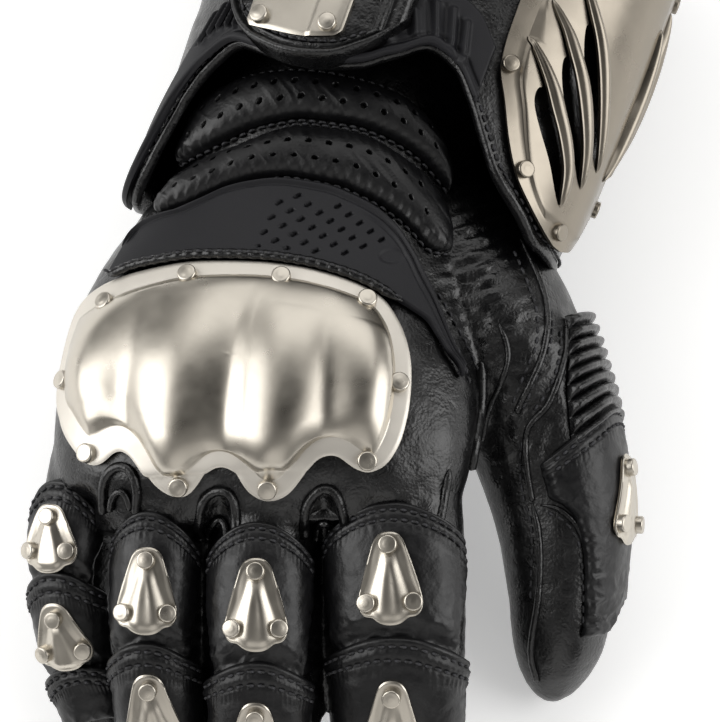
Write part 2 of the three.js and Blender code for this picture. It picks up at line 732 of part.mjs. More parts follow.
// Thumb: ribbed stretch panel, back panel below it and a small armour plate.
const THUMB_PANEL = { from: 0.47, to: 0.845, angles: [20, 165] };
function ribs() {
  const from = 0.31;
  const to = THUMB_PANEL.from + lap(thumb) - GAP / thumb.length;
  const count = 8;
  return slab(4, count * 2, (i, j) => {
    const angle = 35 + (115 * i) / 4;
    const share = from + ((to - from) * j) / (count * 2) + archAt(angle) / thumb.length;
    const crest = j % 2 === 1 && share < THUMB_PANEL.from + archAt(angle) / thumb.length ? RIB_HEIGHT : 0;
    return [thumb.at(share, angle, SEAT), thumb.at(share, angle, SEAT + 0.85 * PANEL + crest)];
  });
}
add("thumb_stretch_ribs", biggest(ribs().subtract(handClear)), BACK_LEATHER);
add("thumb_back_panel", backPanel(thumb, THUMB_PANEL), BACK_LEATHER);
add(
  "thumb_armour_plate",
  armourPlate(thumb, THUMB_PANEL, { from: 0.56, angle: 90, long: 0.95, wide: 0.95 }),
  SATIN_STEEL,
);

// Band on a tube between two edges given by a table of angle, first share, last share.
function band(tube, table, steps, profile, low = SEAT) {
  return slab(table.length - 1, steps.length - 1, (i, j) => {
    const [angle, first, last] = table[i];
    const share = first + (last - first) * steps[j];
    const edge = Math.min(i, table.length - 1 - i);
    return [tube.at(share, angle, low), tube.at(share, angle, low + profile(steps[j], edge))];
  });
}

// Rubber yoke with a raised rim.
const YOKE_STEPS = [0, 0.12, 0.88, 1];
const yoke = band(hand, YOKE_OUTLINE, YOKE_STEPS, (s) => (s < 0.05 || s > 0.95 ? RUBBER : RUBBER * 0.8));
add("knuckle_yoke", biggest(yoke.subtract(thumbClear)), DARK_RUBBER);

// Two padded rolls over the wrist.
const ROLL_STEPS = [0, 0.12, 0.5, 0.88, 1];
const rollProfile = (s, edge) =>
  1 + (ROLL_HEIGHT - 1) * Math.sqrt(Math.max(0, 1 - (2 * s - 1) ** 2)) * Math.min(1, 0.35 + edge * 0.4);
const upperRoll = band(hand, UPPER_ROLL, ROLL_STEPS, rollProfile);
add("upper_wrist_roll", biggest(upperRoll), BACK_LEATHER);
const lowerRoll = band(hand, LOWER_ROLL, ROLL_STEPS, rollProfile).subtract(thumbClear);
add("lower_wrist_roll", biggest(lowerRoll), BACK_LEATHER);

// Knuckle guard.
function guard() {
  const inner = [0, 0.25, 0.75, 1];
  const edges = GUARD_OUTLINE.length - 1;
  // The dome swells from its own edge and carries four bulges with valleys between.
  const rise = (share, angle) => {
    const top = between(DOME_OUTLINE, angle, 1);
    const bottom = between(DOME_OUTLINE, angle, 2);
    const here = hand.at(share, angle);
    const ends = [GUARD_OUTLINE[2][0], GUARD_OUTLINE[edges - 2][0]];
    const sides = ends.map((end) => {
      const within = end > 90 ? angle < end : angle > end;
      return within ? here.distanceTo(hand.at(share, end)) : 0;
    });
    const gaps = [(share - top) * hand.length, (bottom - share) * hand.length, ...sides];
    const edge = Math.min(...gaps);
    const inside = Math.sqrt(smooth(-GUARD_STAND, GUARD_SLOPE, edge) * smooth(-GUARD_STAND, GUARD_STAND, edge));
    const n = GUARD_BULGES.findIndex((_, k) => angle <= GUARD_VALLEYS[k] && angle > GUARD_VALLEYS[k + 1]);
    if (n < 0) return 0;
    const reach = angle > GUARD_BULGES[n] ? GUARD_VALLEYS[n] : GUARD_VALLEYS[n + 1];
    const off = Math.abs((angle - GUARD_BULGES[n]) / (reach - GUARD_BULGES[n]));
    return inside * (GUARD_DOME + GUARD_BULGE * Math.cos((off * Math.PI) / 2) ** 2);
  };
  let made = slab(edges, inner.length + 1, (i, j) => {
    const [angle, top, bottom] = GUARD_OUTLINE[i];
    const domeTop = Math.max(top + 0.004, between(DOME_OUTLINE, angle, 1));
    const domeBottom = Math.max(domeTop + 0.006, Math.min(bottom - 0.004, between(DOME_OUTLINE, angle, 2)));
    let share = domeTop + (domeBottom - domeTop) * (inner[j - 1] ?? 0);
    if (j === 0) share = top;
    if (j > inner.length) share = bottom;
    const low = GAP + GUARD_STAND + (j === 0 || j > inner.length ? 0 : rise(share, angle));
    return [hand.at(share, angle, low), hand.at(share, angle, low + STEEL)];
  });
  GUARD_RIVETS.forEach(([angle, share]) => {
    const point = hand.at(share, angle, GAP + GUARD_STAND + STEEL);
    made = made.add(rivet(point, hand.normal(share, angle)));
  });
  return made;
}
add("knuckle_guard", guard(), SATIN_STEEL);

// Rubber frame round the hand-side rim of the cuff.
const FRAME_ANGLES = [188, 178, 168, 158, 150, 144, 138, 132, 126, 120];
FRAME_ANGLES.push(114, 108, 102, 97, 93, 89, 86, 83, 80, 76, 72, 68);
const FRAME_TABLE = FRAME_ANGLES.map((angle) => [angle, rimAt(angle) - 0.11, rimAt(angle) - 0.002]);
const FRAME_STEPS = [0, 0.3, 0.75, 1];
const framed = band(cuff, FRAME_TABLE, FRAME_STEPS, (s) => (s > 0.7 ? RUBBER : RUBBER * 0.7));

// Pad, wrist plate and frame on the back of the cuff.
const PAD_STEPS = [0, 0.12, 0.5, 0.88, 1];
const padProfile = (s, edge) => (s > 0.05 && s < 0.95 && edge > 0 ? PAD_HEIGHT : PAD_HEIGHT * 0.55);
const pad = band(cuff, PAD_OUTLINE, PAD_STEPS, padProfile);
const padEdge = (row, n) => {
  const side = n === 0 ? 0.6 : n === PAD_OUTLINE.length - 1 ? -0.6 : 0;
  return [row[0] + side, row[1] - 0.006, row[2] + 0.006];
};
const padClear = band(cuff, PAD_OUTLINE.map(padEdge), PAD_STEPS, () => PAD_HEIGHT * 4, -CUFF_WALL);
add("cuff_frame", biggest(framed.subtract(padClear)), DARK_RUBBER);
add("wrist_pad", pad, DARK_RUBBER);

function wristPlate() {
  const low = SEAT + GAP + PAD_HEIGHT;
  let made = band(cuff, WRIST_PLATE_OUTLINE, [0, 0.5, 1], () => STEEL, low);
  WRIST_PLATE_RIVETS.forEach(([angle, share]) => {
    made = made.add(rivet(cuff.at(share, angle, low + STEEL), cuff.normal(share, angle)));
  });
  return made;
}
add("wrist_plate", wristPlate(), SATIN_STEEL);

// Louvred steel plate on the thumb side of the cuff.
function cuffPlate() {
  const columns = 4;
  const at = (share, angle, off) => cuff.at(share, angle, off, -1e3);
  const surface = (i, j, low, high) => {
    const [share, first, last] = CUFF_PLATE_OUTLINE[j];
    const angle = first + ((last - first) * i) / columns;
    return [at(share, angle, low), at(share, angle, high)];
  };
  let made = slab(columns, CUFF_PLATE_OUTLINE.length - 1, (i, j) =>
    surface(i, j, GAP + PLATE_STAND, GAP + PLATE_STAND + STEEL),
  );
  const crescent = (louvre, start, width, low, high) => {
    const [nearAngle, farAngle, near, far] = louvre;
    const lean = nearAngle > 15 ? -1 : 1;
    const across = start < 1 ? 1 : 2;
    return slab(across, 2, (i, j) => {
      const s = j / 2;
      const share = near + (far - near) * s;
      const bow = 5 * Math.sin(Math.PI * s) * lean;
      const wide = width * (0.35 + 0.65 * Math.sin(Math.PI * s));
      const angle = nearAngle + (farAngle - nearAngle) * s + bow + start * lean + (wide * i * lean) / across;
      const tall = i === 1 ? high : Math.min(high, low + STEEL);
      return [at(share, angle, low), at(share, angle, start < 1 ? high : tall)];
    });
  };
  LOUVRES.forEach((louvre) => {
    made = made.add(crescent(louvre, 4.2, 3.2, GAP + PLATE_STAND + 0.2, GAP + PLATE_STAND + FIN_HEIGHT));
  });
  LOUVRES.forEach((louvre) => {
    made = made.subtract(crescent(louvre, 0, 3.8, -CUFF_WALL, FIN_HEIGHT * 4));
  });
  made = biggest(made);
  CUFF_PLATE_RIVETS.forEach(([angle, share]) => {
    const point = at(share, angle, GAP + PLATE_STAND + STEEL);
    made = made.add(rivet(point, cuff.normal(share, angle)));
  });
  return made;
}
add("cuff_plate", cuffPlate(), SATIN_STEEL);

export default group;
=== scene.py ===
"""Right-hand armoured leather motorcycle gauntlet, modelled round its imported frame.

Lengths are millimetres until a mesh is made, where they become metres. The glove lies palm down,
fingers towards -Y, thumb towards +X, and the cuff leans away towards +Y.
"""

import logging
import math
from collections.abc import Callable
from dataclasses import dataclass, field
from enum import Enum

import bpy
import numpy as np
from mathutils import Matrix, Vector
from mathutils.bvhtree import BVHTree


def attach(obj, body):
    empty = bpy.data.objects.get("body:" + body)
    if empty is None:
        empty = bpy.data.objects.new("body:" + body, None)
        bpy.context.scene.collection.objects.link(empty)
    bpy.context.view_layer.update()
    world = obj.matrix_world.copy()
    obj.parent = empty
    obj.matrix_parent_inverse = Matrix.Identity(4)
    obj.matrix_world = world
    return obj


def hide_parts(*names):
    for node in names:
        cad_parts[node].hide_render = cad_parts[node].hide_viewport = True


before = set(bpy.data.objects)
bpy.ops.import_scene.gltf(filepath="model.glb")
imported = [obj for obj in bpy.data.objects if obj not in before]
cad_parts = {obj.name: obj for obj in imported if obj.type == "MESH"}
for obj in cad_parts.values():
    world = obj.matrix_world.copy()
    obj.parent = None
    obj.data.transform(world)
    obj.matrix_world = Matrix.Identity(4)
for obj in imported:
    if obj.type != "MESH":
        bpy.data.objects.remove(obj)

LOG = logging.getLogger("gauntlet")
Array = np.ndarray
Piece = bpy.types.Object
Tree = bpy.types.NodeTree
Faces = list[tuple[int, ...]]
# Lines to stitch: points in mm and outward directions.
Seams = list[tuple[Array, Array]]
MM = 0.001
PHOTO_WIDTH, PHOTO_HEIGHT = 720, 722
SENSOR = 36

# Thicknesses of the materials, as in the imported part.
LEATHER = 2.0
CUFF_WALL = 2.4
PANEL = 1.6
RUBBER = 2.2
STEEL = 1.0
GAP = 0.3
SEAT = 0.65
PANEL_OVERLAP = 3.5

UPWARDS = np.array([0.0, 0.0, 1.0])
# A floor for points so low that it never lifts them.
NO_FLOOR = -1e3
# Edges sharper than these angles in degrees stay crisp.
SHEET_ANGLE, STEEL_ANGLE, RIVET_ANGLE = 60.0, 50.0, 35.0


# ---- Small mathematics ----


def smooth(low: float, high: float, value: Array) -> Array:
    """Smooth step from 0 at low to 1 at high."""
    t = np.clip((value - low) / (high - low), 0.0, 1.0)
    return t * t * (3.0 - 2.0 * t)


def bell(value: Array, width: float) -> Array:
    """Bell curve of height 1 that falls to a third at one width."""
    return np.exp(-((value / width) ** 2))


def mix(start: Array | float, end: Array | float, share: Array | float) -> Array:
    """Value at a share of the way from start to end."""
    return start + (end - start) * share


def from_ends(share: Array) -> Array:
    """How far a share is from the nearer of 0 and 1."""
    return np.minimum(share, 1 - share)


def rounding(inside: Array, radius: float) -> Array:
    """Quarter round from 0 at an edge to 1 at a radius inside it."""
    return np.sqrt(np.clip(1 - (1 - np.clip(inside / radius, 0, 1)) ** 2, 0, 1))


def run_along(line: Array) -> Array:
    """Distance from the first point of a line to each of its points."""
    return np.concatenate([[0], np.cumsum(np.linalg.norm(np.diff(line, axis=0), axis=1))])


def read_rows(rows: Array, run: Array, at: Array) -> Array:
    """Rows that lie at distances run along a line, read at other distances."""
    return np.stack([np.interp(at, run, rows[:, k]) for k in range(rows.shape[1])], axis=1)


def ring_faces(rings: int, around: int, first: int = 0, closed: bool = False) -> Faces:
    """Four-sided faces between closed rings of points that follow each other.

    Args:
        rings: how many rings there are.
        around: points in each ring.
        first: number of the first point.
        closed: whether the last ring meets the first.
    Returns:
        Vertex numbers of each face.
    """
    starts = [first + j * around for j in range(rings)]
    pairs = zip(starts, starts[1:] + (starts[:1] if closed else []))
    return [(a + i, b + i, b + (i + 1) % around, a + (i + 1) % around) for a, b in pairs for i in range(around)]


def catmull(points: Array, t: Array) -> Array:
    """Uniform Catmull-Rom curve through rows of points.

    Args:
        points: one row per point.
        t: places on the curve, 0 at the first point and 1 at the last.
    Returns:
        One row per place.
    """
    points = np.asarray(points, float)
    last = len(points) - 1
    place = np.clip(np.asarray(t, float), 0, 1) * last
    i = np.minimum(place.astype(int), last - 1)
    w = (place - i)[:, None]
    padded = np.vstack([2 * points[0] - points[1], points, 2 * points[-1] - points[-2]])
    p0, p1, p2, p3 = padded[i], padded[i + 1], padded[i + 2], padded[i + 3]
    m1, m2 = (p2 - p0) / 2, (p3 - p1) / 2
    return (
        (2 * w**3 - 3 * w**2 + 1) * p1
        + (w**3 - 2 * w**2 + w) * m1
        + (3 * w**2 - 2 * w**3) * p2
        + (w**3 - w**2) * m2
    )


def eased(table: Array, key: Array, column: int) -> Array:
    """Value between the rows of a table by a curve that never overshoots a row.

    Args:
        table: rows of key, values.
        key: where to read it.
        column: which column to read.
    Returns:
        One value per key.
    """
    rows = np.asarray(sorted(map(tuple, table)), float)
    xs, ys = rows[:, 0], rows[:, column]
    h = np.diff(xs)
    d = np.diff(ys) / h
    m = np.zeros_like(ys)
    m[0], m[-1] = d[0], d[-1]
    for k in range(1, len(xs) - 1):
        if d[k - 1] * d[k] > 0:
            w1, w2 = 2 * h[k] + h[k - 1], h[k] + 2 * h[k - 1]
            m[k] = (w1 + w2) / (w1 / d[k - 1] + w2 / d[k])
    key = np.clip(np.asarray(key, float), xs[0], xs[-1])
    i = np.clip(np.searchsorted(xs, key) - 1, 0, len(xs) - 2)
    t = (key - xs[i]) / h[i]
    return (
        (2 * t**3 - 3 * t**2 + 1) * ys[i]
        + (t**3 - 2 * t**2 + t) * h[i] * m[i]
        + (3 * t**2 - 2 * t**3) * ys[i + 1]
        + (t**3 - t**2) * h[i] * m[i + 1]
    )


def crumple(points: Array, size: float, seed: int = 0, octaves: int = 3) -> Array:
    """Smooth random relief between -1 and 1, the same on every run.

    Args:
        points: places in mm, one row each.
        size: width in mm of the largest creases.
        seed: another number gives other creases.
        octaves: how many finer layers are added.
    Returns:
        One height per place.
    """
    total = np.zeros(len(points))
    weight = 1.0
    for layer in range(octaves):
        p = points / size * 2**layer + 17.3 * (seed + layer)
        cell = np.floor(p).astype(np.int64)
        f = p - cell
        ease = f * f * f * (f * (f * 6 - 15) + 10)
        value = np.zeros(len(points))
        for corner in range(8):
            bits = np.array([corner & 1, (corner >> 1) & 1, (corner >> 2) & 1])
            at = cell + bits
            # Large primes scatter neighbouring cells, as hashes of places on a grid do.
            mixed = at[:, 0] * 73856093 ^ at[:, 1] * 19349663 ^ at[:, 2] * 83492791 ^ (seed + 7) * 2654435
            mixed = (mixed ^ (mixed >> 13)) * 1274126177 & 0xFFFFFFF
            turn = (mixed & 0xFFFF) / 65535.0 * 2 * math.pi
            lift = ((mixed >> 12) & 0xFFFF) / 65535.0 * 2 - 1
            flat = np.sqrt(np.maximum(0, 1 - lift**2))
            away = f - bits
            dot = away[:, 0] * flat * np.cos(turn) + away[:, 1] * flat * np.sin(turn) + away[:, 2] * lift
            value += dot * np.prod(np.where(bits == 1, ease, 1 - ease), axis=1)
        total += value * weight * 1.5
        weight *= 0.5
    return total


def unit(vectors: Array) -> Array:
    """Rows scaled to length 1."""
    return vectors / np.maximum(np.linalg.norm(vectors, axis=-1, keepdims=True), 1e-9)


# ---- Skins of the hand, the digits and the cuff ----


class Tube:
    """A swept body with a rounded section: angle 0 faces the thumb side and 90 the back."""

    def __init__(self, rows: list[tuple[float, ...]], power: float = 2.4, tip: float = 1.0) -> None:
        """Sweep the sections along their centres.

        Args:
            rows: x, y, z, half width, rise, drop, turn in degrees.
            power: 2 gives an ellipse, more gives squarer sides.
            tip: share of the length where the rounded end begins.
        """
        table = np.array(rows, float)
        t = np.linspace(0, 1, 201)
        run = run_along(catmull(table[:, :3], t))
        self.length = float(run[-1])
        self.power, self.tip = power, tip
        self.shares = np.linspace(0, 1, 801)
        t = np.interp(self.shares, run / run[-1], t)
        centre = catmull(table[:, :3], t)
        ahead = unit(catmull(table[:, :3], t + 1e-3) - catmull(table[:, :3], t - 1e-3))
        side = unit(np.cross([0, 0, 1], ahead))
        up = np.cross(ahead, side)
        turn = np.radians(catmull(table[:, 6:7], t))
        rolled = side * np.cos(turn) + up * np.sin(turn)
        raised = up * np.cos(turn) - side * np.sin(turn)
        self.table = np.hstack([centre, rolled, raised, catmull(table[:, 3:6], t), ahead])

    def frames(self, share: Array) -> Array:
        """Centre, side, up, half sizes and direction at each share, 15 columns."""
        share = np.clip(share, 0, 1) * 800
        i = np.minimum(share.astype(int), 799)
        w = (share - i)[:, None]
        return self.table[i] * (1 - w) + self.table[i + 1] * w

    def at(self, share: Array, angle: Array, off: Array | float = 0.0, floor: float = 0.0) -> Array:
        """Points on or over the skin.

        Args:
            share: shares of the length.
            angle: degrees round the section.
            off: distance off the skin in mm.
            floor: height in mm that no point goes below.
        Returns:
            Points in mm, in the shape of the arguments.
        """
        share, angle, off = np.broadcast_arrays(*(np.asarray(v, float) for v in (share, angle, off)))
        shape = share.shape
        share, angle, off = share.ravel(), np.radians(angle.ravel()), off.ravel()
        f = self.frames(share)
        q = np.clip((share - self.tip) / max(1e-6, 1 - self.tip), 0, 1)
        size = np.where(share > self.tip, np.sqrt(np.maximum(0.02, 1 - q * q)), 1.0)
        cos, sin = np.cos(angle), np.sin(angle)
        bent_x = np.sign(cos) * np.abs(cos) ** (2 / self.power)
        bent_y = np.sign(sin) * np.abs(sin) ** (2 / self.power)
        x = bent_x * (f[:, 9] + off) * size
        y = bent_y * (np.where(sin > 0, f[:, 10], f[:, 11]) + off) * size
        points = f[:, 0:3] + f[:, 3:6] * x[:, None] + f[:, 6:9] * y[:, None]
        points[:, 2] = np.maximum(points[:, 2], floor)
        return points.reshape(*shape, 3)

    def normal(self, share: Array, angle: Array) -> Array:
        """Outward directions of the skin."""
        share, angle = np.asarray(share, float), np.asarray(angle, float)
        low, high = np.maximum(0, share - 0.004), np.minimum(1, share + 0.004)
        along = self.at(high, angle, 0, NO_FLOOR) - self.at(low, angle, 0, NO_FLOOR)
        across = self.at(share, angle + 1, 0, NO_FLOOR) - self.at(share, angle - 1, 0, NO_FLOOR)
        return unit(np.cross(across, along))

    def degrees(self, share: Array, angle: Array | float, width: Array) -> Array:
        """Degrees that span a width in mm round the skin."""
        angle, reach = np.asarray(angle), 4.0
        arc = np.linalg.norm(self.at(share, angle + reach) - self.at(share, angle - reach), axis=-1)
        return width * 2 * reach / arc


def along_cuff(out: float, height: float, aside: float = 0.0) -> tuple[float, float, float]:
    """Point on the cuff's axis, which leans 17.5 degrees to the thumb side."""
    sin, cos = math.sin(math.radians(17.5)), math.cos(math.radians(17.5))
    return 24 + out * sin + aside * cos, 24 + out * cos - aside * sin, height


HAND = Tube(
    [
        (28, 78, 35, 34, 23, 32, 2),
        (18.5, 46, 35, 36, 25, 32, 3),
        (14, 22, 34, 40, 26, 35, 4),
        (9, 2, 35, 47, 27, 37.5, 6),
        (2, -22, 38, 53, 27, 37, 8),
        (-0.5, -44, 41, 54, 24, 24, 8),
        (-0.5, -58, 40, 51, 21.5, 19, 8),
        (-0.5, -68, 39, 43, 15.5, 13, 8),
    ]
)
INDEX = Tube(
    [
        (31, -36, 49, 15.5, 12, 12, 8),
        (32.5, -66, 44.5, 16, 12, 12, 8),
        (33.5, -97, 37, 15.6, 11.5, 11.5, 8),
        (33.5, -120, 20, 14, 10.5, 10.5, 6),
        (33, -141, 4, 12, 9.5, 9.5, 2),
    ],
    tip=0.9,
)
MIDDLE = Tube(
    [
        (1.5, -36, 49, 11.2, 11.5, 11.5, 4),
        (-0.5, -68, 44.5, 11.4, 11.5, 11.5, 4),
        (-0.8, -101, 37, 11.2, 11, 11, 4),
        (-1, -127, 19, 10.6, 10, 10, 4),
        (-1, -149, 3.6, 9.2, 9, 9, 4),
    ],
    tip=0.9,
)
RING = Tube(
    [
        (-23, -36, 43, 9.6, 11, 11, 9),
        (-26, -66, 38.5, 9.6, 11, 11, 9),
        (-27, -96, 31, 9.4, 10.5, 10.5, 9),
        (-25, -119, 16.5, 9.2, 10, 10, 9),
        (-22, -139, 4, 8.5, 9, 9, 6),
    ],
    tip=0.9,
)
LITTLE = Tube(
    [
        (-43.5, -34, 34, 8.4, 9.6, 9.6, 25),
        (-47.8, -57, 30, 8.6, 9.6, 9.6, 25),
        (-48.6, -78, 24.5, 8.4, 9.3, 9.3, 25),
        (-45, -97, 14, 8.2, 9, 9, 22),
        (-39, -113, 3.5, 7.6, 8.3, 8.3, 15),
    ],
    tip=0.88,
)
THUMB = Tube(
    [
        (36, 30, 36, 13, 15, 16, -25),
        (47, 10, 35, 17, 18, 18, -33),
        (58, -9, 34, 20, 20, 20, -45),
        (67.5, -31, 29, 18, 19, 19, -60),
        (73, -50, 24.5, 15.5, 17.5, 17, -66),
        (75, -67, 20.5, 14, 15, 14.5, -66),
        (75, -85, 14.5, 12.5, 12, 11.5, -60),
        (73, -103, 5.5, 11, 9.5, 9.5, -50),
    ],
    tip=0.86,
)
CUFF = Tube(
    [
        (*along_cuff(112, 41, 1), 60, 38, 42, 0),
        (*along_cuff(60, 41, 1), 58, 37, 42, 0),
        (*along_cuff(20, 40, 0), 56, 36, 41, 0),
        (*along_cuff(-30, 38, -2), 54, 33, 39, 0),
    ],
    power=2.3,
)


# ---- The camera's view, for what is placed by where it is seen ----


@dataclass(frozen=True)
class View:
    """The viewpoint of the photograph: 70 degrees above the table, from the fingertips' side."""

    target: tuple[float, float, float] = (23.75, -29.5, 60.0)
    elevation: float = 70.0
    distance: float = 900.0
    scale: float = 4.0

    @property
    def back(self) -> Array:
        """Direction from the target to the camera."""
        a = math.radians(self.elevation)
        return np.array([0.0, -math.cos(a), math.sin(a)])

    @property
    def up(self) -> Array:
        """Upward direction of the picture."""
        a = math.radians(self.elevation)
        return np.array([0.0, math.sin(a), math.cos(a)])

    def seen(self, points: Array) -> Array:
        """Pixels where points in mm are seen, one row each."""
        r = np.asarray(points, float) - np.array(self.target)
        s = self.scale * self.distance / (self.distance - r @ self.back)
        return np.stack([PHOTO_WIDTH / 2 + r[..., 0] * s, PHOTO_HEIGHT / 2 - (r @ self.up) * s], axis=-1)

    def ray(self, px: float, py: float) -> tuple[Vector, Vector]:
        """Line of sight through a pixel.

        Args:
            px: pixels from the left of the picture.
            py: pixels from its top.
        Returns:
            Its start in mm and its direction.
        """
        eye = np.array(self.target) + self.back * self.distance
        right = np.array([1.0, 0.0, 0.0])
        on_plane = (
            np.array(self.target)
            + right * (px - PHOTO_WIDTH / 2) / self.scale
            - self.up * (py - PHOTO_HEIGHT / 2) / self.scale
        )
        return Vector(eye), Vector(unit(on_plane - eye))


VIEW = View()


# ---- Mesh tools ----


def deselect() -> None:
    """Leave edit mode and select nothing."""
    if bpy.context.object and bpy.context.object.mode != "OBJECT":
        bpy.ops.object.mode_set(mode="OBJECT")
    bpy.ops.object.select_all(action="DESELECT")


def select_only(piece: Piece) -> None:
    """Make a piece the one that is selected and active."""
    deselect()
    bpy.context.view_layer.objects.active = piece
    piece.select_set(True)


def mesh_piece(name: str, points: Array, faces: Faces | Array) -> Piece:
    """A new object from points in mm and faces, selected and active.

    Args:
        name: plain name of the piece.
        points: one row per vertex.
        faces: vertex numbers of each face.
    Returns:
        The object, at the origin.
    """
    mesh = bpy.data.meshes.new(name)
    metres = np.asarray(points, float).reshape(-1, 3) * MM
    mesh.from_pydata(metres.tolist(), [], [tuple(map(int, face)) for face in faces])
    mesh.validate()
    piece = bpy.data.objects.new(name, mesh)
    bpy.context.scene.collection.objects.link(piece)
    select_only(piece)
    return piece


def points_of(piece: Piece) -> Array:
    """Vertices of a piece in mm, one row each."""
    co = np.zeros(len(piece.data.vertices) * 3, np.float32)
    piece.data.vertices.foreach_get("co", co)
    return co.reshape(-1, 3).astype(float) / MM


def move_points(piece: Piece, points: Array) -> None:
    """Give a piece new vertex places, in mm."""
    piece.data.vertices.foreach_set("co", (points * MM).astype(np.float32).ravel())
    piece.data.update()


def normals_of(piece: Piece) -> Array:
    """Vertex normals of a piece, one row each."""
    out = np.zeros(len(piece.data.vertices) * 3, np.float32)
    piece.data.vertices.foreach_get("normal", out)
    return out.reshape(-1, 3).astype(float)


def finish_with(piece: Piece, kind: str, **settings: object) -> None:
    """Add a modifier and apply it.

    Args:
        piece: what it shapes.
        kind: its type name.
        settings: its own properties.
    """
    select_only(piece)
    modifier = piece.modifiers.new(kind.title(), kind)
    for key, value in settings.items():
        setattr(modifier, key, value)
    bpy.ops.object.modifier_apply(modifier=modifier.name)


def face_outwards(piece: Piece) -> None:
    """Merge doubles and turn every face outwards."""
    select_only(piece)
    bpy.ops.object.mode_set(mode="EDIT")
    bpy.ops.mesh.select_all(action="SELECT")
    bpy.ops.mesh.remove_doubles(threshold=1e-6)
    bpy.ops.mesh.normals_make_consistent(inside=False)
    bpy.ops.object.mode_set(mode="OBJECT")


def draped_grid(name: str, columns: int, rows: int, place: Callable[[Array, Array], Array]) -> Piece:
    """A grid primitive whose vertices are laid on a surface.

    Args:
        name: plain name of the piece.
        columns: faces across.
        rows: faces along.
        place: gives points in mm for shares across and along, each 0 to 1.
    Returns:
        The sheet, facing the way that place gives.
    """
    deselect()
    bpy.ops.mesh.primitive_grid_add(x_subdivisions=columns, y_subdivisions=rows, size=1, location=(0, 0, 0))
    piece = bpy.context.object
    piece.name = piece.data.name = name
    co = points_of(piece) * MM
    move_points(piece, place(np.clip(co[:, 0] + 0.5, 0, 1), np.clip(co[:, 1] + 0.5, 0, 1)))
    return piece


def thicken(piece: Piece, wall: float, outward: Array | None = None) -> None:
    """Give a sheet its wall, inwards from the face that shows.

    Args:
        piece: an open sheet.
        wall: thickness in mm.
        outward: rough outward direction of the sheet, to turn it if it faces in.
    """
    if outward is not None and float((normals_of(piece) @ outward).mean()) < 0:
        piece.data.flip_normals()
    finish_with(piece, "SOLIDIFY", thickness=wall * MM, offset=-1.0, use_even_offset=False)


def shade(piece: Piece, angle: float | None = None) -> None:
    """Smooth shading.

    Args:
        piece: what is shaded.
        angle: degrees past which an edge stays crisp.
    """
    select_only(piece)
    if angle is None:
        bpy.ops.object.shade_smooth()
    else:
        bpy.ops.object.shade_smooth_by_angle(angle=math.radians(angle))


def joined(name: str, pieces: list[Piece]) -> Piece:
    """Join pieces into the first of them.

    Args:
        name: plain name of the whole.
        pieces: what is joined.
    Returns:
        The one object that is left.
    """
    deselect()
    for piece in pieces:
        piece.select_set(True)
    bpy.context.view_layer.objects.active = pieces[0]
    if len(pieces) > 1:
        bpy.ops.object.join()
    pieces[0].name = pieces[0].data.name = name
    return pieces[0]


def placed_copies(name: str, pattern: tuple[Array, Faces], places: Array) -> Piece:
    """One mesh with a copy of a pattern at each place.

    Args:
        name: plain name of the piece.
        pattern: points in mm and faces of one copy.
        places: one 3 x 4 matrix per copy, columns x, y, z directions and origin in mm.
    Returns:
        The object.
    """
    points, faces = pattern
    everything = np.concatenate([points @ m[:, :3].T + m[:, 3] for m in places])
    index = [tuple(v + k * len(points) for v in face) for k in range(len(places)) for face in faces]
    return mesh_piece(name, everything, index)


def stand_at(points: Array, normals: Array, along: Array | None = None) -> Array:
    """Matrices that stand a pattern on a surface.

    Args:
        points: where the copies stand, in mm.
        normals: direction of each copy's z.
        along: rough direction of its x, otherwise towards the cuff.
    Returns:
        One 3 x 4 matrix per point.
    """
    z = unit(normals)
    hint = np.broadcast_to(np.array([0.0, 1.0, 0.0]) if along is None else along, z.shape)
    x = unit(hint - z * (hint * z).sum(-1, keepdims=True))
    y = np.cross(z, x)
    return np.stack([x, y, z, points], axis=-1)


def cord_mesh(
    name: str,
    line: Array,
    radius: float | Array,
    sides: int = 10,
    squash: float = 1.0,
    normals: Array | None = None,
) -> Piece:
    """A round welt or piping along a line, tapered at both ends.

    Args:
        name: plain name of the piece.
        line: points in mm along its middle.
        radius: one radius or one per point.
        sides: faces round it.
        squash: height over width of its section.
        normals: outward direction at each point.
    Returns:
        The object.
    """
    line = np.asarray(line, float)
    count = len(line)
    ahead = unit(np.gradient(line, axis=0))
    out = np.tile(UPWARDS, (count, 1)) if normals is None else normals
    side = unit(np.cross(ahead, out))
    out = np.cross(side, ahead)
    radius = np.broadcast_to(np.asarray(radius, float), (count,))
    angles = np.linspace(0, 2 * math.pi, sides, endpoint=False)
    rings = line[:, None] + radius[:, None, None] * (
        side[:, None] * np.cos(angles)[None, :, None] + out[:, None] * squash * np.sin(angles)[None, :, None]
    )
    # Each end closes in a low point, 0.6 of the radius beyond the last ring.
    ends = np.vstack([line[0] - ahead[0] * radius[0] * 0.6, line[-1] + ahead[-1] * radius[-1] * 0.6])
    faces = ring_faces(count, sides)
    first, last, final = count * sides, count * sides + 1, (count - 1) * sides
    for i in range(sides):
        k = (i + 1) % sides
        faces += [(first, i, k), (last, final + k, final + i)]
    return mesh_piece(name, np.vstack([rings.reshape(-1, 3), ends]), faces)


# ---- Materials ----


def linear(hex_colour: str) -> tuple[float, float, float, float]:
    """An sRGB hex colour as linear values with alpha 1."""
    values = [int(hex_colour.lstrip("#")[i : i + 2], 16) / 255 for i in (0, 2, 4)]
    return (*(v / 12.92 if v <= 0.04045 else ((v + 0.055) / 1.055) ** 2.4 for v in values), 1.0)


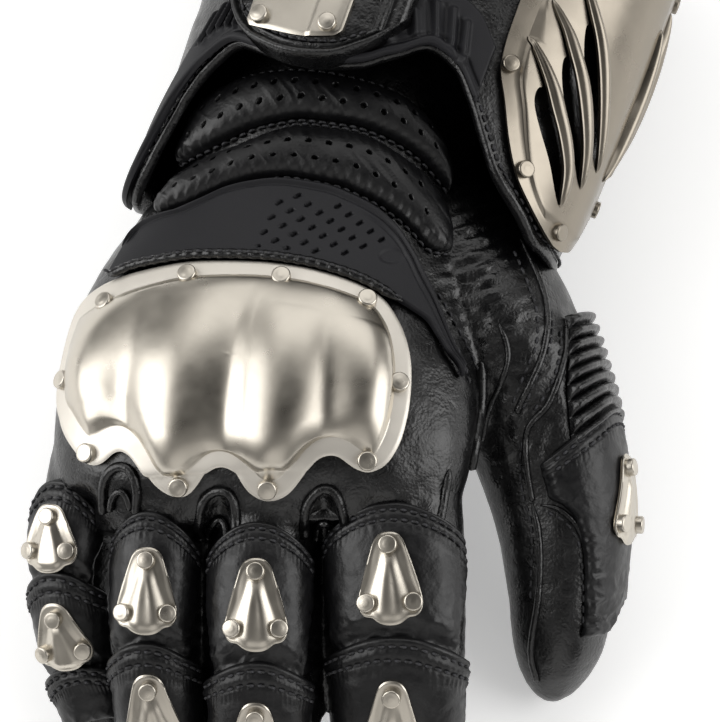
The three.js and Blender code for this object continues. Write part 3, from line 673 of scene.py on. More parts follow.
def add_node(tree: Tree, kind: str, inputs: dict | None = None, **settings: object) -> bpy.types.Node:
    """Add a node, set it up and link what feeds it.

    Args:
        tree: where it goes.
        kind: its type name.
        inputs: socket name or number to a value or to another node's output.
        settings: its own properties.
    Returns:
        The node.
    """
    made = tree.nodes.new(kind)
    for key, value in settings.items():
        setattr(made, key, value)
    for key, value in (inputs or {}).items():
        if isinstance(value, bpy.types.NodeSocket):
            tree.links.new(value, made.inputs[key])
        else:
            made.inputs[key].default_value = value
    return made


def new_material(name: str) -> tuple[bpy.types.Material, Tree]:
    """A material and its empty node tree."""
    material = bpy.data.materials.new(name)
    material.use_nodes = True
    material.node_tree.nodes.clear()
    return material, material.node_tree


@dataclass(frozen=True)
class Leather:
    """Chrome-tanned cowhide, dyed through and finished semi-gloss."""

    name: str
    dark: str
    light: str
    gloss: float
    roughness: float
    # Pore cells of finished cowhide are 0.5 to 1 mm wide.
    pore_mm: float = 0.85
    # Soft creases between pores run 3 to 6 mm.
    crease_mm: float = 4.5
    # The dye takes unevenly over patches of about 18 mm.
    patch_mm: float = 18.2
    pore_depth: float = 0.22
    crease_depth: float = 0.55

    def material(self) -> bpy.types.Material:
        """The node material."""
        material, tree = new_material(self.name)
        place = add_node(tree, "ShaderNodeTexCoord").outputs["Object"]
        grain = {"Vector": place, "Scale": 1000 / self.pore_mm, "Randomness": 0.9}
        pores = add_node(tree, "ShaderNodeTexVoronoi", grain, feature="F1").outputs["Distance"]
        folds = {"Vector": place, "Scale": 1000 / self.crease_mm, "Detail": 5.0, "Roughness": 0.62, "Distortion": 0.6}
        creases = add_node(tree, "ShaderNodeTexNoise", folds).outputs["Fac"]
        dye = {"Vector": place, "Scale": 1000 / self.patch_mm, "Detail": 3.0}
        patches = add_node(tree, "ShaderNodeTexNoise", dye).outputs["Fac"]
        shades = {0: patches, 6: linear(self.dark), 7: linear(self.light)}
        tone = add_node(tree, "ShaderNodeMix", shades, data_type="RGBA").outputs[2]
        # The crests are rubbed smoother than the creases.
        polish = {"From Min": 0.3, "From Max": 0.7, "To Min": self.roughness - 0.07, "To Max": self.roughness + 0.1}
        rough = add_node(tree, "ShaderNodeMapRange", {"Value": creases, **polish}).outputs["Result"]
        bump = {"Height": creases, "Strength": self.crease_depth, "Distance": 0.6 * MM}
        soft = add_node(tree, "ShaderNodeBump", bump).outputs["Normal"]
        bump = {"Height": pores, "Strength": self.pore_depth, "Distance": 0.3 * MM, "Normal": soft}
        fine = add_node(tree, "ShaderNodeBump", bump).outputs["Normal"]
        look = {"Base Color": tone, "Roughness": rough, "IOR": 1.5, "Specular IOR Level": self.gloss, "Normal": fine}
        shader = add_node(tree, "ShaderNodeBsdfPrincipled", look)
        add_node(tree, "ShaderNodeOutputMaterial", {"Surface": shader.outputs["BSDF"]})
        return material


@dataclass(frozen=True)
class Rubber:
    """Moulded thermoplastic rubber, dark grey, with a fine matte mould texture."""

    name: str
    colour: str
    roughness: float
    # Spark-eroded mould texture, real grit 0.1 mm, drawn at 0.35 mm so that it shows.
    grit_mm: float = 0.35
    # Wax blooms to the surface in clouds of about 11 mm.
    bloom_mm: float = 11.1

    def material(self) -> bpy.types.Material:
        """The node material."""
        material, tree = new_material(self.name)
        place = add_node(tree, "ShaderNodeTexCoord").outputs["Object"]
        texture = {"Vector": place, "Scale": 1000 / self.grit_mm, "Detail": 2.0}
        grit = add_node(tree, "ShaderNodeTexNoise", texture).outputs["Fac"]
        clouds = {"Vector": place, "Scale": 1000 / self.bloom_mm, "Detail": 4.0}
        bloom = add_node(tree, "ShaderNodeTexNoise", clouds).outputs["Fac"]
        dusty = (*(min(1.0, v * 1.35) for v in linear(self.colour)[:3]), 1.0)
        shades = {0: bloom, 6: linear(self.colour), 7: dusty}
        tone = add_node(tree, "ShaderNodeMix", shades, data_type="RGBA").outputs[2]
        bump = {"Height": grit, "Strength": 0.25, "Distance": 0.2 * MM}
        fine = add_node(tree, "ShaderNodeBump", bump).outputs["Normal"]
        look = {"Base Color": tone, "Roughness": self.roughness, "IOR": 1.5, "Specular IOR Level": 0.3, "Normal": fine}
        shader = add_node(tree, "ShaderNodeBsdfPrincipled", look)
        add_node(tree, "ShaderNodeOutputMaterial", {"Surface": shader.outputs["BSDF"]})
        return material


@dataclass(frozen=True)
class Steel:
    """Stamped stainless steel sheet, tumbled to a satin finish."""

    name: str
    colour: str
    roughness: float
    # Tumbling leaves a haze finer than 0.1 mm, drawn at 0.3 mm, over 6 mm waves of the pressing.
    haze_mm: float = 0.3
    wave_mm: float = 6.0

    def material(self) -> bpy.types.Material:
        """The node material."""
        material, tree = new_material(self.name)
        place = add_node(tree, "ShaderNodeTexCoord").outputs["Object"]
        tumbled = {"Vector": place, "Scale": 1000 / self.haze_mm, "Detail": 3.0}
        haze = add_node(tree, "ShaderNodeTexNoise", tumbled).outputs["Fac"]
        pressed = {"Vector": place, "Scale": 1000 / self.wave_mm, "Detail": 2.0}
        wave = add_node(tree, "ShaderNodeTexNoise", pressed).outputs["Fac"]
        satin = {"From Min": 0.3, "From Max": 0.7, "To Min": self.roughness - 0.03, "To Max": self.roughness + 0.04}
        rough = add_node(tree, "ShaderNodeMapRange", {"Value": wave, **satin}).outputs["Result"]
        bump = {"Height": wave, "Strength": 0.12, "Distance": 0.4 * MM}
        broad = add_node(tree, "ShaderNodeBump", bump).outputs["Normal"]
        bump = {"Height": haze, "Strength": 0.05, "Distance": 0.1 * MM, "Normal": broad}
        fine = add_node(tree, "ShaderNodeBump", bump).outputs["Normal"]
        look = {"Base Color": linear(self.colour), "Metallic": 1.0, "Roughness": rough, "Normal": fine}
        shader = add_node(tree, "ShaderNodeBsdfPrincipled", look)
        add_node(tree, "ShaderNodeOutputMaterial", {"Surface": shader.outputs["BSDF"]})
        return material


@dataclass(frozen=True)
class Thread:
    """Bonded polyester sewing thread, three plies twisted."""

    name: str
    colour: str
    shine: str
    roughness: float
    # Ply twist of a 0.6 mm thread repeats about every 0.9 mm.
    twist_mm: float = 0.9

    def material(self) -> bpy.types.Material:
        """The node material."""
        material, tree = new_material(self.name)
        place = add_node(tree, "ShaderNodeTexCoord").outputs["Object"]
        # A wave repeats once in 2 pi of its scale, here taken as 6.28.
        plies = {"Vector": place, "Scale": 1000 / self.twist_mm / 6.28, "Distortion": 1.5}
        twist = add_node(tree, "ShaderNodeTexWave", plies).outputs["Fac"]
        # The crest of each ply is painted in the lighter shine colour, a painted highlight.
        shades = {0: twist, 6: linear(self.colour), 7: linear(self.shine)}
        tone = add_node(tree, "ShaderNodeMix", shades, data_type="RGBA").outputs[2]
        bump = {"Height": twist, "Strength": 0.5, "Distance": 0.2 * MM}
        fine = add_node(tree, "ShaderNodeBump", bump).outputs["Normal"]
        look = {"Base Color": tone, "Roughness": self.roughness, "Normal": fine}
        shader = add_node(tree, "ShaderNodeBsdfPrincipled", look)
        add_node(tree, "ShaderNodeOutputMaterial", {"Surface": shader.outputs["BSDF"]})
        return material


class Finish(Enum):
    """The finishes of the glove."""

    SMOOTH_LEATHER = Leather("semi_gloss_black_cowhide", "#030304", "#070708", 0.6, 0.28)
    PANEL_LEATHER = Leather(
        "charcoal_padded_cowhide", "#070708", "#0e0e10", 0.45, 0.37, pore_depth=0.12, crease_depth=0.14
    )
    RUBBER = Rubber("matte_moulded_rubber", "#17171a", 0.52)
    # A darker copy of the satin steel, at the same roughness, for the louvred cuff plate: the darker colour is painted
    # shade for the dim reflections of the side-facing plate.
    SHADED_STEEL = Steel("stamped_stainless_painted_shade", "#8c857a", 0.29)
    STEEL = Steel("satin_stamped_stainless", "#bfb9ae", 0.3)
    # A lighter copy of the guard's steel for its flange: the lighter colour is a painted highlight for the light the
    # flat flange catches, and its finish is rougher.
    FLANGE_STEEL_PAINTED_BRIGHT = Steel("rough_stainless_flange_painted_bright", "#d8d3ca", 0.5)
    THREAD = Thread("bonded_polyester_thread", "#111113", "#2c2c30", 0.62)


class Wardrobe:
    """Makes each finish once and puts it on pieces."""

    def __init__(self) -> None:
        """Start with no material made."""
        self.made: dict[Finish, bpy.types.Material] = {}

    def dress(self, piece: Piece, finish: Finish) -> None:
        """Put one finish on a whole piece."""
        piece.data.materials.clear()
        self.trim(piece, finish, [])

    def trim(self, piece: Piece, finish: Finish, faces: list[bpy.types.MeshPolygon]) -> None:
        """Add a finish to a piece.

        Args:
            piece: what is dressed.
            finish: the finish, made when it is first asked for.
            faces: the faces that wear it.
        """
        if finish not in self.made:
            self.made[finish] = finish.value.material()
        piece.data.materials.append(self.made[finish])
        for face in faces:
            face.material_index = len(piece.data.materials) - 1


WARDROBE = Wardrobe()


def settle(piece: Piece, finish: Finish, *nodes: str, padded: float | None = None) -> Piece:
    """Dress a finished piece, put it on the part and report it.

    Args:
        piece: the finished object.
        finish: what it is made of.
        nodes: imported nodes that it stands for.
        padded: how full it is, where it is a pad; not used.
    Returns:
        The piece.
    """
    WARDROBE.dress(piece, finish)
    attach(piece, "root")
    if nodes:
        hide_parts(*nodes)
    LOG.info("%s: %d faces", piece.name, len(piece.data.polygons))
    return piece


# ---- Fastenings: rivets and stitches ----


@dataclass
class Rivet:
    """A short steel stud with a rounded rim and a faintly domed face."""

    radius: float = 2.4
    height: float = 2.0
    sunk: float = 0.6
    sides: int = 28
    pattern: tuple[Array, Faces] = field(init=False)

    def __post_init__(self) -> None:
        """Model one rivet from a cylinder, as a pattern for the copies."""
        deselect()
        depth = self.height + self.sunk
        bpy.ops.mesh.primitive_cylinder_add(
            vertices=self.sides,
            radius=self.radius * MM,
            depth=depth * MM,
            location=(0, 0, (self.height - self.sunk) / 2 * MM),
            end_fill_type="NGON",
        )
        stud = bpy.context.object
        bpy.ops.object.transform_apply(location=True)
        bpy.ops.object.mode_set(mode="EDIT")
        bpy.ops.mesh.select_mode(type="FACE")
        bpy.ops.mesh.select_all(action="DESELECT")
        bpy.ops.object.mode_set(mode="OBJECT")
        for face in stud.data.polygons:
            face.select = face.normal.z > 0.9
        bpy.ops.object.mode_set(mode="EDIT")
        bpy.ops.mesh.bevel(offset=0.5 * MM, segments=4, affect="EDGES")
        bpy.ops.mesh.select_all(action="DESELECT")
        bpy.ops.object.mode_set(mode="OBJECT")
        for face in stud.data.polygons:
            face.select = face.normal.z > 0.99 and len(face.vertices) == self.sides
        bpy.ops.object.mode_set(mode="EDIT")
        bpy.ops.mesh.inset(thickness=0.35 * MM, depth=0)
        bpy.ops.mesh.inset(thickness=0.55 * MM, depth=0.1 * MM)
        bpy.ops.mesh.inset(thickness=0.5 * MM, depth=0.04 * MM)
        bpy.ops.object.mode_set(mode="OBJECT")
        self.pattern = (points_of(stud), [tuple(f.vertices) for f in stud.data.polygons])
        bpy.data.objects.remove(stud, do_unlink=True)

    def rows(self, name: str, points: Array, normals: Array, size: float = 1.0) -> Piece:
        """Rivets at points, standing on the surface."""
        places = stand_at(points, normals)
        places[:, :, :3] *= size
        made = placed_copies(name, self.pattern, places)
        shade(made, RIVET_ANGLE)
        return made


@dataclass
class Stitching:
    """Lock stitches of thick black thread, each a small bow that dips into the leather."""

    length: float = 2.0
    pitch: float = 2.6
    radius: float = 0.4

    def pattern(self) -> tuple[Array, Faces]:
        """One stitch along x, 6 sides and 5 rings."""
        half = self.length / 2
        xs = np.array([-half, -half * 0.7, 0, half * 0.7, half])
        sizes = np.array([0.35, 0.9, 1.0, 0.9, 0.35]) * self.radius
        lift = np.array([-0.3, 0.05, 0.22, 0.05, -0.3])
        angles = np.arange(6) * math.pi / 3
        points = [(x, r * math.cos(a), h + r * math.sin(a)) for x, r, h in zip(xs, sizes, lift) for a in angles]
        faces = ring_faces(len(xs), 6)
        for ring in (range(6), range(len(points) - 1, len(points) - 7, -1)):
            faces += [(ring[0], ring[1], ring[2], ring[3]), (ring[0], ring[3], ring[4], ring[5])]
        return np.array(points), faces

    def along(self, lines: Seams) -> Array:
        """Places of the stitches on lines of points with their normals."""
        places = []
        for line, normals in lines:
            if len(line) < 4:
                continue
            run = run_along(line)
            count = int(run[-1] // self.pitch)
            if count < 1:
                continue
            at = (np.arange(count) + 0.5) * run[-1] / count
            here = read_rows(line, run, at)
            out = read_rows(normals, run, at)
            ahead = read_rows(line, run, at + 0.5) - read_rows(line, run, at - 0.5)
            places.append(stand_at(here, out, ahead))
        return np.concatenate(places)

    def sew(self, name: str, lines: Seams) -> Piece:
        """All the stitches of some lines as one piece."""
        made = placed_copies(name, self.pattern(), self.along(lines))
        face_outwards(made)
        shade(made)
        return settle(made, Finish.THREAD)


# ---- Leather of the hand ----


@dataclass(frozen=True)
class Digit:
    """One digit's leather, fuller at its sides than the tube it follows."""

    name: str
    tube: Tube
    thumb_side: float
    little_side: float

    def fullness(self, share: Array, angle: Array) -> Array:
        """How far the side seams stand out from the tube, in mm."""
        fade = smooth(0.1, 0.26, share) * (1 - smooth(0.84, 0.97, share))
        near_thumb = bell((angle + 24) / 30, 1.0) + bell((angle - 336) / 30, 1.0)
        near_little = bell((angle - 204) / 30, 1.0)
        return fade * (self.thumb_side * near_thumb + self.little_side * near_little)


DIGITS = (
    Digit("index", INDEX, 1.4, 4.6),
    Digit("middle", MIDDLE, 4.0, 2.6),
    Digit("ring", RING, 2.6, 1.6),
    Digit("little", LITTLE, 1.2, 1.0),
    Digit("thumb", THUMB, 0.0, 0.6),
)


@dataclass
class HandLeather:
    """The hand and the five digits as one skin of leather, open at the wrist."""

    voxel: float = 1.45
    wall: float = LEATHER
    webs: tuple = ((81, 514, 13), (218, 516, 14), (324, 512, 14))
    tree: BVHTree = field(init=False)
    piece: Piece = field(init=False)

    def lofted(self, name: str, tube: Tube, stations: int, segments: int, full: Callable) -> Piece:
        """A closed loft over a tube, its ends closed by one face each."""
        shares = np.linspace(0, 1, stations) ** 0.9
        angles = np.linspace(0, 360, segments, endpoint=False)
        grid_s, grid_a = np.meshgrid(shares, angles, indexing="ij")
        points = tube.at(grid_s, grid_a, full(grid_s, grid_a)).reshape(-1, 3)
        faces = ring_faces(stations, segments)
        faces += [tuple(range(segments)), tuple(range((stations - 1) * segments, stations * segments))[::-1]]
        piece = mesh_piece(f"loft_{name}", points, faces)
        face_outwards(piece)
        return piece

    def build(self) -> None:
        """Fuse the lofts, fold the skin, open the wrist and give it its wall."""
        lofts = [self.lofted("hand", HAND, 70, 56, lambda s, a: np.zeros_like(s))]
        lofts += [self.lofted(d.name, d.tube, 70, 56, d.fullness) for d in DIGITS]
        body = joined("leather_hand_and_digits", lofts)
        finish_with(body, "REMESH", mode="VOXEL", voxel_size=self.voxel * MM, adaptivity=0.0)
        finish_with(body, "SMOOTH", factor=0.5, iterations=6)
        self.fold(body)
        self.tree = BVHTree.FromPolygons(
            [tuple(v) for v in points_of(body)], [tuple(f.vertices) for f in body.data.polygons]
        )
        self.open_wrist(body)
        thicken(body, self.wall)
        shade(body)
        self.piece = settle(
            body,
            Finish.SMOOTH_LEATHER,
            "palm_shell",
            "index_finger_shell",
            "middle_finger_shell",
            "ring_finger_shell",
            "little_finger_shell",
            "thumb_shell",
        )

    def fold(self, body: Piece) -> None:
        """Creases across the bends, hollows between the knuckles and gathers by the thumb."""
        points, normals = points_of(body), normals_of(body)
        seen = VIEW.seen(points)
        px, py = seen[:, 0], seen[:, 1]
        upward = smooth(-0.1, 0.35, normals[:, 2])
        broad = crumple(points * [1, 0.8, 1], 13, 1)
        fine = crumple(points * [0.9, 1.2, 1], 4.5, 2)
        sharp = 1 - np.abs(crumple(points * [1.1, 0.9, 1.3], 7.5, 4, 2)) * 2.4
        height = 0.25 * broad + 0.07 * fine
        knuckles = bell((py - 505) / 34, 1.0) * smooth(60, 100, px) * (1 - smooth(440, 480, px)) * upward
        height += knuckles * (0.22 * fine + 0.35 * np.clip(sharp, -0.6, 1))
        for x, y, wide in self.webs:
            height -= 3.4 * bell(np.hypot(px - x, (py - y) * 0.62), wide) * upward
        gather = bell((px - 476) / 34, 1.0) * bell((py - 250) / 88, 1.0) * upward
        ripple = np.sin((py * 0.97 + px * 0.28) / 13.5 * 2 * math.pi + 1.9 * broad + 0.8 * fine)
        height += gather * (0.75 * ripple + 0.45 * np.clip(sharp, -0.5, 1))
        side = smooth(455, 490, px) * (1 - smooth(560, 590, px))
        side = side * smooth(290, 330, py) * (1 - smooth(450, 500, py))
        height += side * upward * (0.5 * np.clip(sharp, -0.5, 1) + 0.25 * fine)
        for digit in DIGITS[:4]:
            joint = bell((points[:, 1] - digit.tube.at(np.array([0.5]), np.array([90.0]))[0, 1]) / 9, 1.0)
            near = bell(points[:, 0] - digit.tube.at(np.array([0.5]), np.array([90.0]))[0, 0], 20)
            height += joint * near * 0.35 * np.sin(points[:, 1] * 2 * math.pi / 3.4 + 2 * fine)
        height *= smooth(0.2, 2.0, points[:, 2])
        moved = points + normals * height[:, None]
        moved[:, 2] = np.maximum(moved[:, 2], 0)
        move_points(body, moved)

    def open_wrist(self, body: Piece) -> None:
        """Cut the closed end of the wrist away."""
        wrist = HAND.frames(np.array([0.012]))[0]
        select_only(body)
        bpy.ops.object.mode_set(mode="EDIT")
        bpy.ops.mesh.select_all(action="SELECT")
        centre, outwards = tuple(wrist[0:3] * MM), tuple(-wrist[12:15])
        bpy.ops.mesh.bisect(plane_co=centre, plane_no=outwards, use_fill=False, clear_outer=True)
        bpy.ops.object.mode_set(mode="OBJECT")

    def beneath(self, pixels: tuple, off: float = 0.0, step: float = 0.8) -> tuple[Array, Array]:
        """Line on the leather below a line seen from the camera.

        Args:
            pixels: corners of the line as seen, smoothed between.
            off: distance above the leather in mm.
            step: spacing of the points in mm.
        Returns:
            Points and outward directions.
        """
        corners = np.array(pixels, float)
        flat = catmull(corners, np.linspace(0, 1, 14 * len(corners)))
        points, normals = [], []
        for px, py in flat:
            start, ahead = VIEW.ray(float(px), float(py))
            hit, out, _, _ = self.tree.ray_cast(start, ahead)
            if hit is None or (points and np.linalg.norm(np.array(hit) - points[-1]) > 12):
                continue
            points.append(np.array(hit))
            normals.append(np.array(out))
        if len(points) < 4:
            LOG.warning("no leather beneath the line from %s", pixels[0])
            return np.zeros((0, 3)), np.zeros((0, 3))
        line, out = np.array(points), np.array(normals)
        run = run_along(line)
        at = np.linspace(0, run[-1], max(4, int(run[-1] / step)))
        even = read_rows(line, run, at)
        out = read_rows(out, run, at)
        kernel = np.array([1, 2, 3, 2, 1]) / 9
        for k in range(3):
            for rows in (even, out):
                rows[2:-2, k] = np.convolve(rows[:, k], kernel, mode="valid")
        out = unit(out)
        return even + out * off, out


@dataclass
class Trimmings:
    """Welts, piping, gusset loops and seams sewn on the leather of the hand."""

    leather: HandLeather
    welts: tuple = (
        ("thumb_side_piping", ((482, 362), (481, 385), (479, 415), (473, 450), (467, 487), (463, 534)), 1.5),
        ("index_root_piping", ((449, 470), (445, 490), (442, 510), (437, 532)), 1.1),
        ("side_seam_welt", ((499, 324), (507, 345), (507, 365), (497, 392), (488, 412), (482, 440)), 0.8),
        ("gusset_welt", ((520, 239), (535, 270), (545, 299), (547, 330), (540, 362), (522, 400), (517, 412)), 0.9),
        (
            "thumb_root_welt",
            ((565, 321), (566, 345), (561, 372), (548, 405), (528, 428), (526, 460), (532, 500)),
            0.9,
        ),
        ("thumb_strip_welt", ((532, 503), (538, 530), (540, 560), (538, 600), (531, 650), (537, 680)), 0.9),
        (
            "thumb_pad_welt",
            ((541, 505), (556, 508), (571, 519), (582, 537), (589, 570), (590, 605), (589, 634)),
            0.8,
        ),
    )
    loops: tuple = (
        ((303, 537), (304, 517), (309, 499), (322, 488), (336, 493), (343, 512), (346, 530)),
        ((313, 541), (316, 526), (324, 520), (332, 527), (335, 541)),
        ((199, 541), (199, 520), (203, 500), (216, 490), (230, 493), (236, 508), (237, 530)),
        ((208, 540), (211, 524), (219, 517), (227, 524), (229, 538)),
        ((104, 512), (103, 492), (108, 474), (120, 466), (132, 472), (137, 490), (136, 512)),
        ((112, 510), (114, 496), (121, 489), (128, 496), (130, 508)),
    )
    stitched: tuple = (
        ((474, 470), (470, 490), (467, 515), (466, 540)),
        ((528, 250), (541, 285), (551, 315), (550, 345), (536, 378), (523, 410)),
        ((513, 250), (528, 285), (537, 315), (536, 345), (524, 375), (512, 405)),
        ((560, 330), (560, 355), (551, 385), (533, 412)),
        ((522, 440), (520, 470), (524, 500), (532, 530), (531, 600)),
        ((546, 512), (560, 518), (572, 530), (580, 548), (583, 590), (583, 625)),
        ((430, 300), (447, 330), (462, 360), (470, 385)),
        ((437, 292), (454, 322), (470, 352), (478, 372)),
    )

    def build(self) -> Seams:
        """Every welt and loop, and the lines to stitch."""
        made = []
        for name, pixels, radius in self.welts:
            line, out = self.leather.beneath(pixels, radius * 0.25)
            taper = np.sqrt(np.clip(np.linspace(0, 9, len(line)), 0.15, 1))
            wide = radius * (1 + 0.1 * crumple(line, 5, 33, 2)) * taper
            made.append(cord_mesh(name, line, wide, 10, 0.9, out))
        for n, pixels in enumerate(self.loops):
            line, out = self.leather.beneath(pixels, 0.5 if n % 2 == 0 else 0.9)
            made.append(cord_mesh(f"gusset_loop_{n + 1}", line, 1.25 if n % 2 == 0 else 0.85, 10, 1.0, out))
        piece = joined("leather_welts_and_loops", made)
        face_outwards(piece)
        shade(piece)
        settle(piece, Finish.SMOOTH_LEATHER)
        return [self.leather.beneath(pixels, 0.1) for pixels in self.stitched]


# ---- Armoured digits ----


@dataclass
class BackPanel:
    """A padded leather panel that lies over the back of a digit like a scale.

    Attributes:
        sides: rows of share, first angle, last angle that bound the panel.
        arch_top: how far the top edge bows at 70 degrees from the middle, in mm.
        arch_end: the same for the end.
        lapped: whether the top edge lies over another panel.
    """

    tube: Tube
    start: float
    stop: float
    sides: tuple
    arch_top: float = 8.0
    arch_end: float = 6.0
    lapped: bool = False
    tucked: bool = True
    seed: int = 0
    crown: float = 1.15
    peak: float = 90.0

    def bow(self, angle: Array, size: float) -> Array:
        """How far an arched edge lies below its peak at an angle."""
        away = (angle - self.peak) / 70
        return size * (np.sqrt(away**2 + 0.02) - 0.14) ** 1.15

    @property
    def span(self) -> float:
        """Length along the digit in mm."""
        return (self.stop - self.start) * self.tube.length

    def share(self, run: Array, angle: Array) -> Array:
        """Share of the digit's length at a distance from the arched top edge."""
        top, end = self.bow(angle, self.arch_top), self.bow(angle, self.arch_end)
        return self.start + (run + top + (end - top) * run / self.span) / self.tube.length

    def outer(self, run: Array, u: Array) -> Array:
        """Height of the outer face over the skin of the digit."""
        body = SEAT + PANEL + self.crown * (1 - np.abs(2 * u - 1) ** 2.4) * smooth(1.5, 9, run)
        body = body + (0.95 if self.lapped else 0.25) * (1 - smooth(2.5, 7.5, run))
        groove = 0.26 * (bell(run - 1.9, 0.42) + bell(run - 4.5, 0.42))
        puff = 0.2 * bell(run - 3.2, 0.8) + 0.16 * bell(run - 0.9, 0.6)
        height = body - groove + puff
        if self.tucked:
            sink = smooth(self.span - 8, self.span - 3.6, run)
            height = height * (1 - sink) + 1.25 * sink
        return height

    def limits(self, share: Array) -> tuple[Array, Array]:
        """First and last angle of the panel at a share."""
        return eased(self.sides, share, 1), eased(self.sides, share, 2)

    def build(self, name: str, node: str) -> None:
        """The padded panel with its rolled edge."""

        def place(u: Array, v: Array) -> Array:
            """Points of the sheet for shares across and along."""
            run = self.span * v
            first, last = self.limits(self.start + run / self.tube.length)
            angle = mix(first, last, u)
            share = self.share(run, angle)
            first, last = self.limits(share)
            angle = mix(first, last, u)
            share = self.share(run, angle)
            side = from_ends(u) * np.radians(last - first) * 14
            height = self.outer(run, u)
            height = height - 1.1 * (1 - rounding(run, 0.9))
            height = height - 2.0 * (1 - rounding(side, 2.4))
            if not self.tucked:
                height = height - 1.3 * (1 - rounding(self.span - run, 1.2))
            flat = self.tube.at(share, angle, height)
            folded = smooth(self.span * 0.62, self.span * 0.95, run) + 0.8 * bell(side, 4)
            rough = 0.16 * crumple(flat, 9, self.seed + 5, 2) + 0.1 * crumple(flat, 3.0, self.seed + 3, 2)
            creases = np.clip(1 - np.abs(crumple(flat * [1, 1.5, 1], 6, self.seed + 8, 2)) * 2.6, -0.4, 1)
            pucker = np.sin(angle * 2.3 + 3 * crumple(flat, 6, self.seed, 1)) * 0.12
            pucker = pucker * (bell(run - 5.8, 1.5) + 0.6 * bell(run - 3.2, 1.0))
            return self.tube.at(share, angle, height + rough + 0.4 * folded * creases + pucker)

        piece = draped_grid(name, 90, max(44, int(self.span / 0.42)), place)
        thicken(piece, 1.0, self.tube.normal(np.array([(self.start + self.stop) / 2]), np.array([90.0]))[0])
        shade(piece, SHEET_ANGLE)
        settle(piece, Finish.PANEL_LEATHER, node, padded=0.5)

    def seams(self) -> Seams:
        """The double row of stitches inside the top edge."""
        lines = []
        for run in (1.9, 4.5):
            u = np.linspace(0.05, 0.95, 70)
            first, last = self.limits(np.full(70, self.start + run / self.tube.length))
            angle = mix(first, last, u)
            share = self.share(np.full(70, run), angle)
            height = self.outer(np.full(70, run), u) + 0.22
            lines.append((self.tube.at(share, angle, height), self.tube.normal(share, angle)))
        return lines


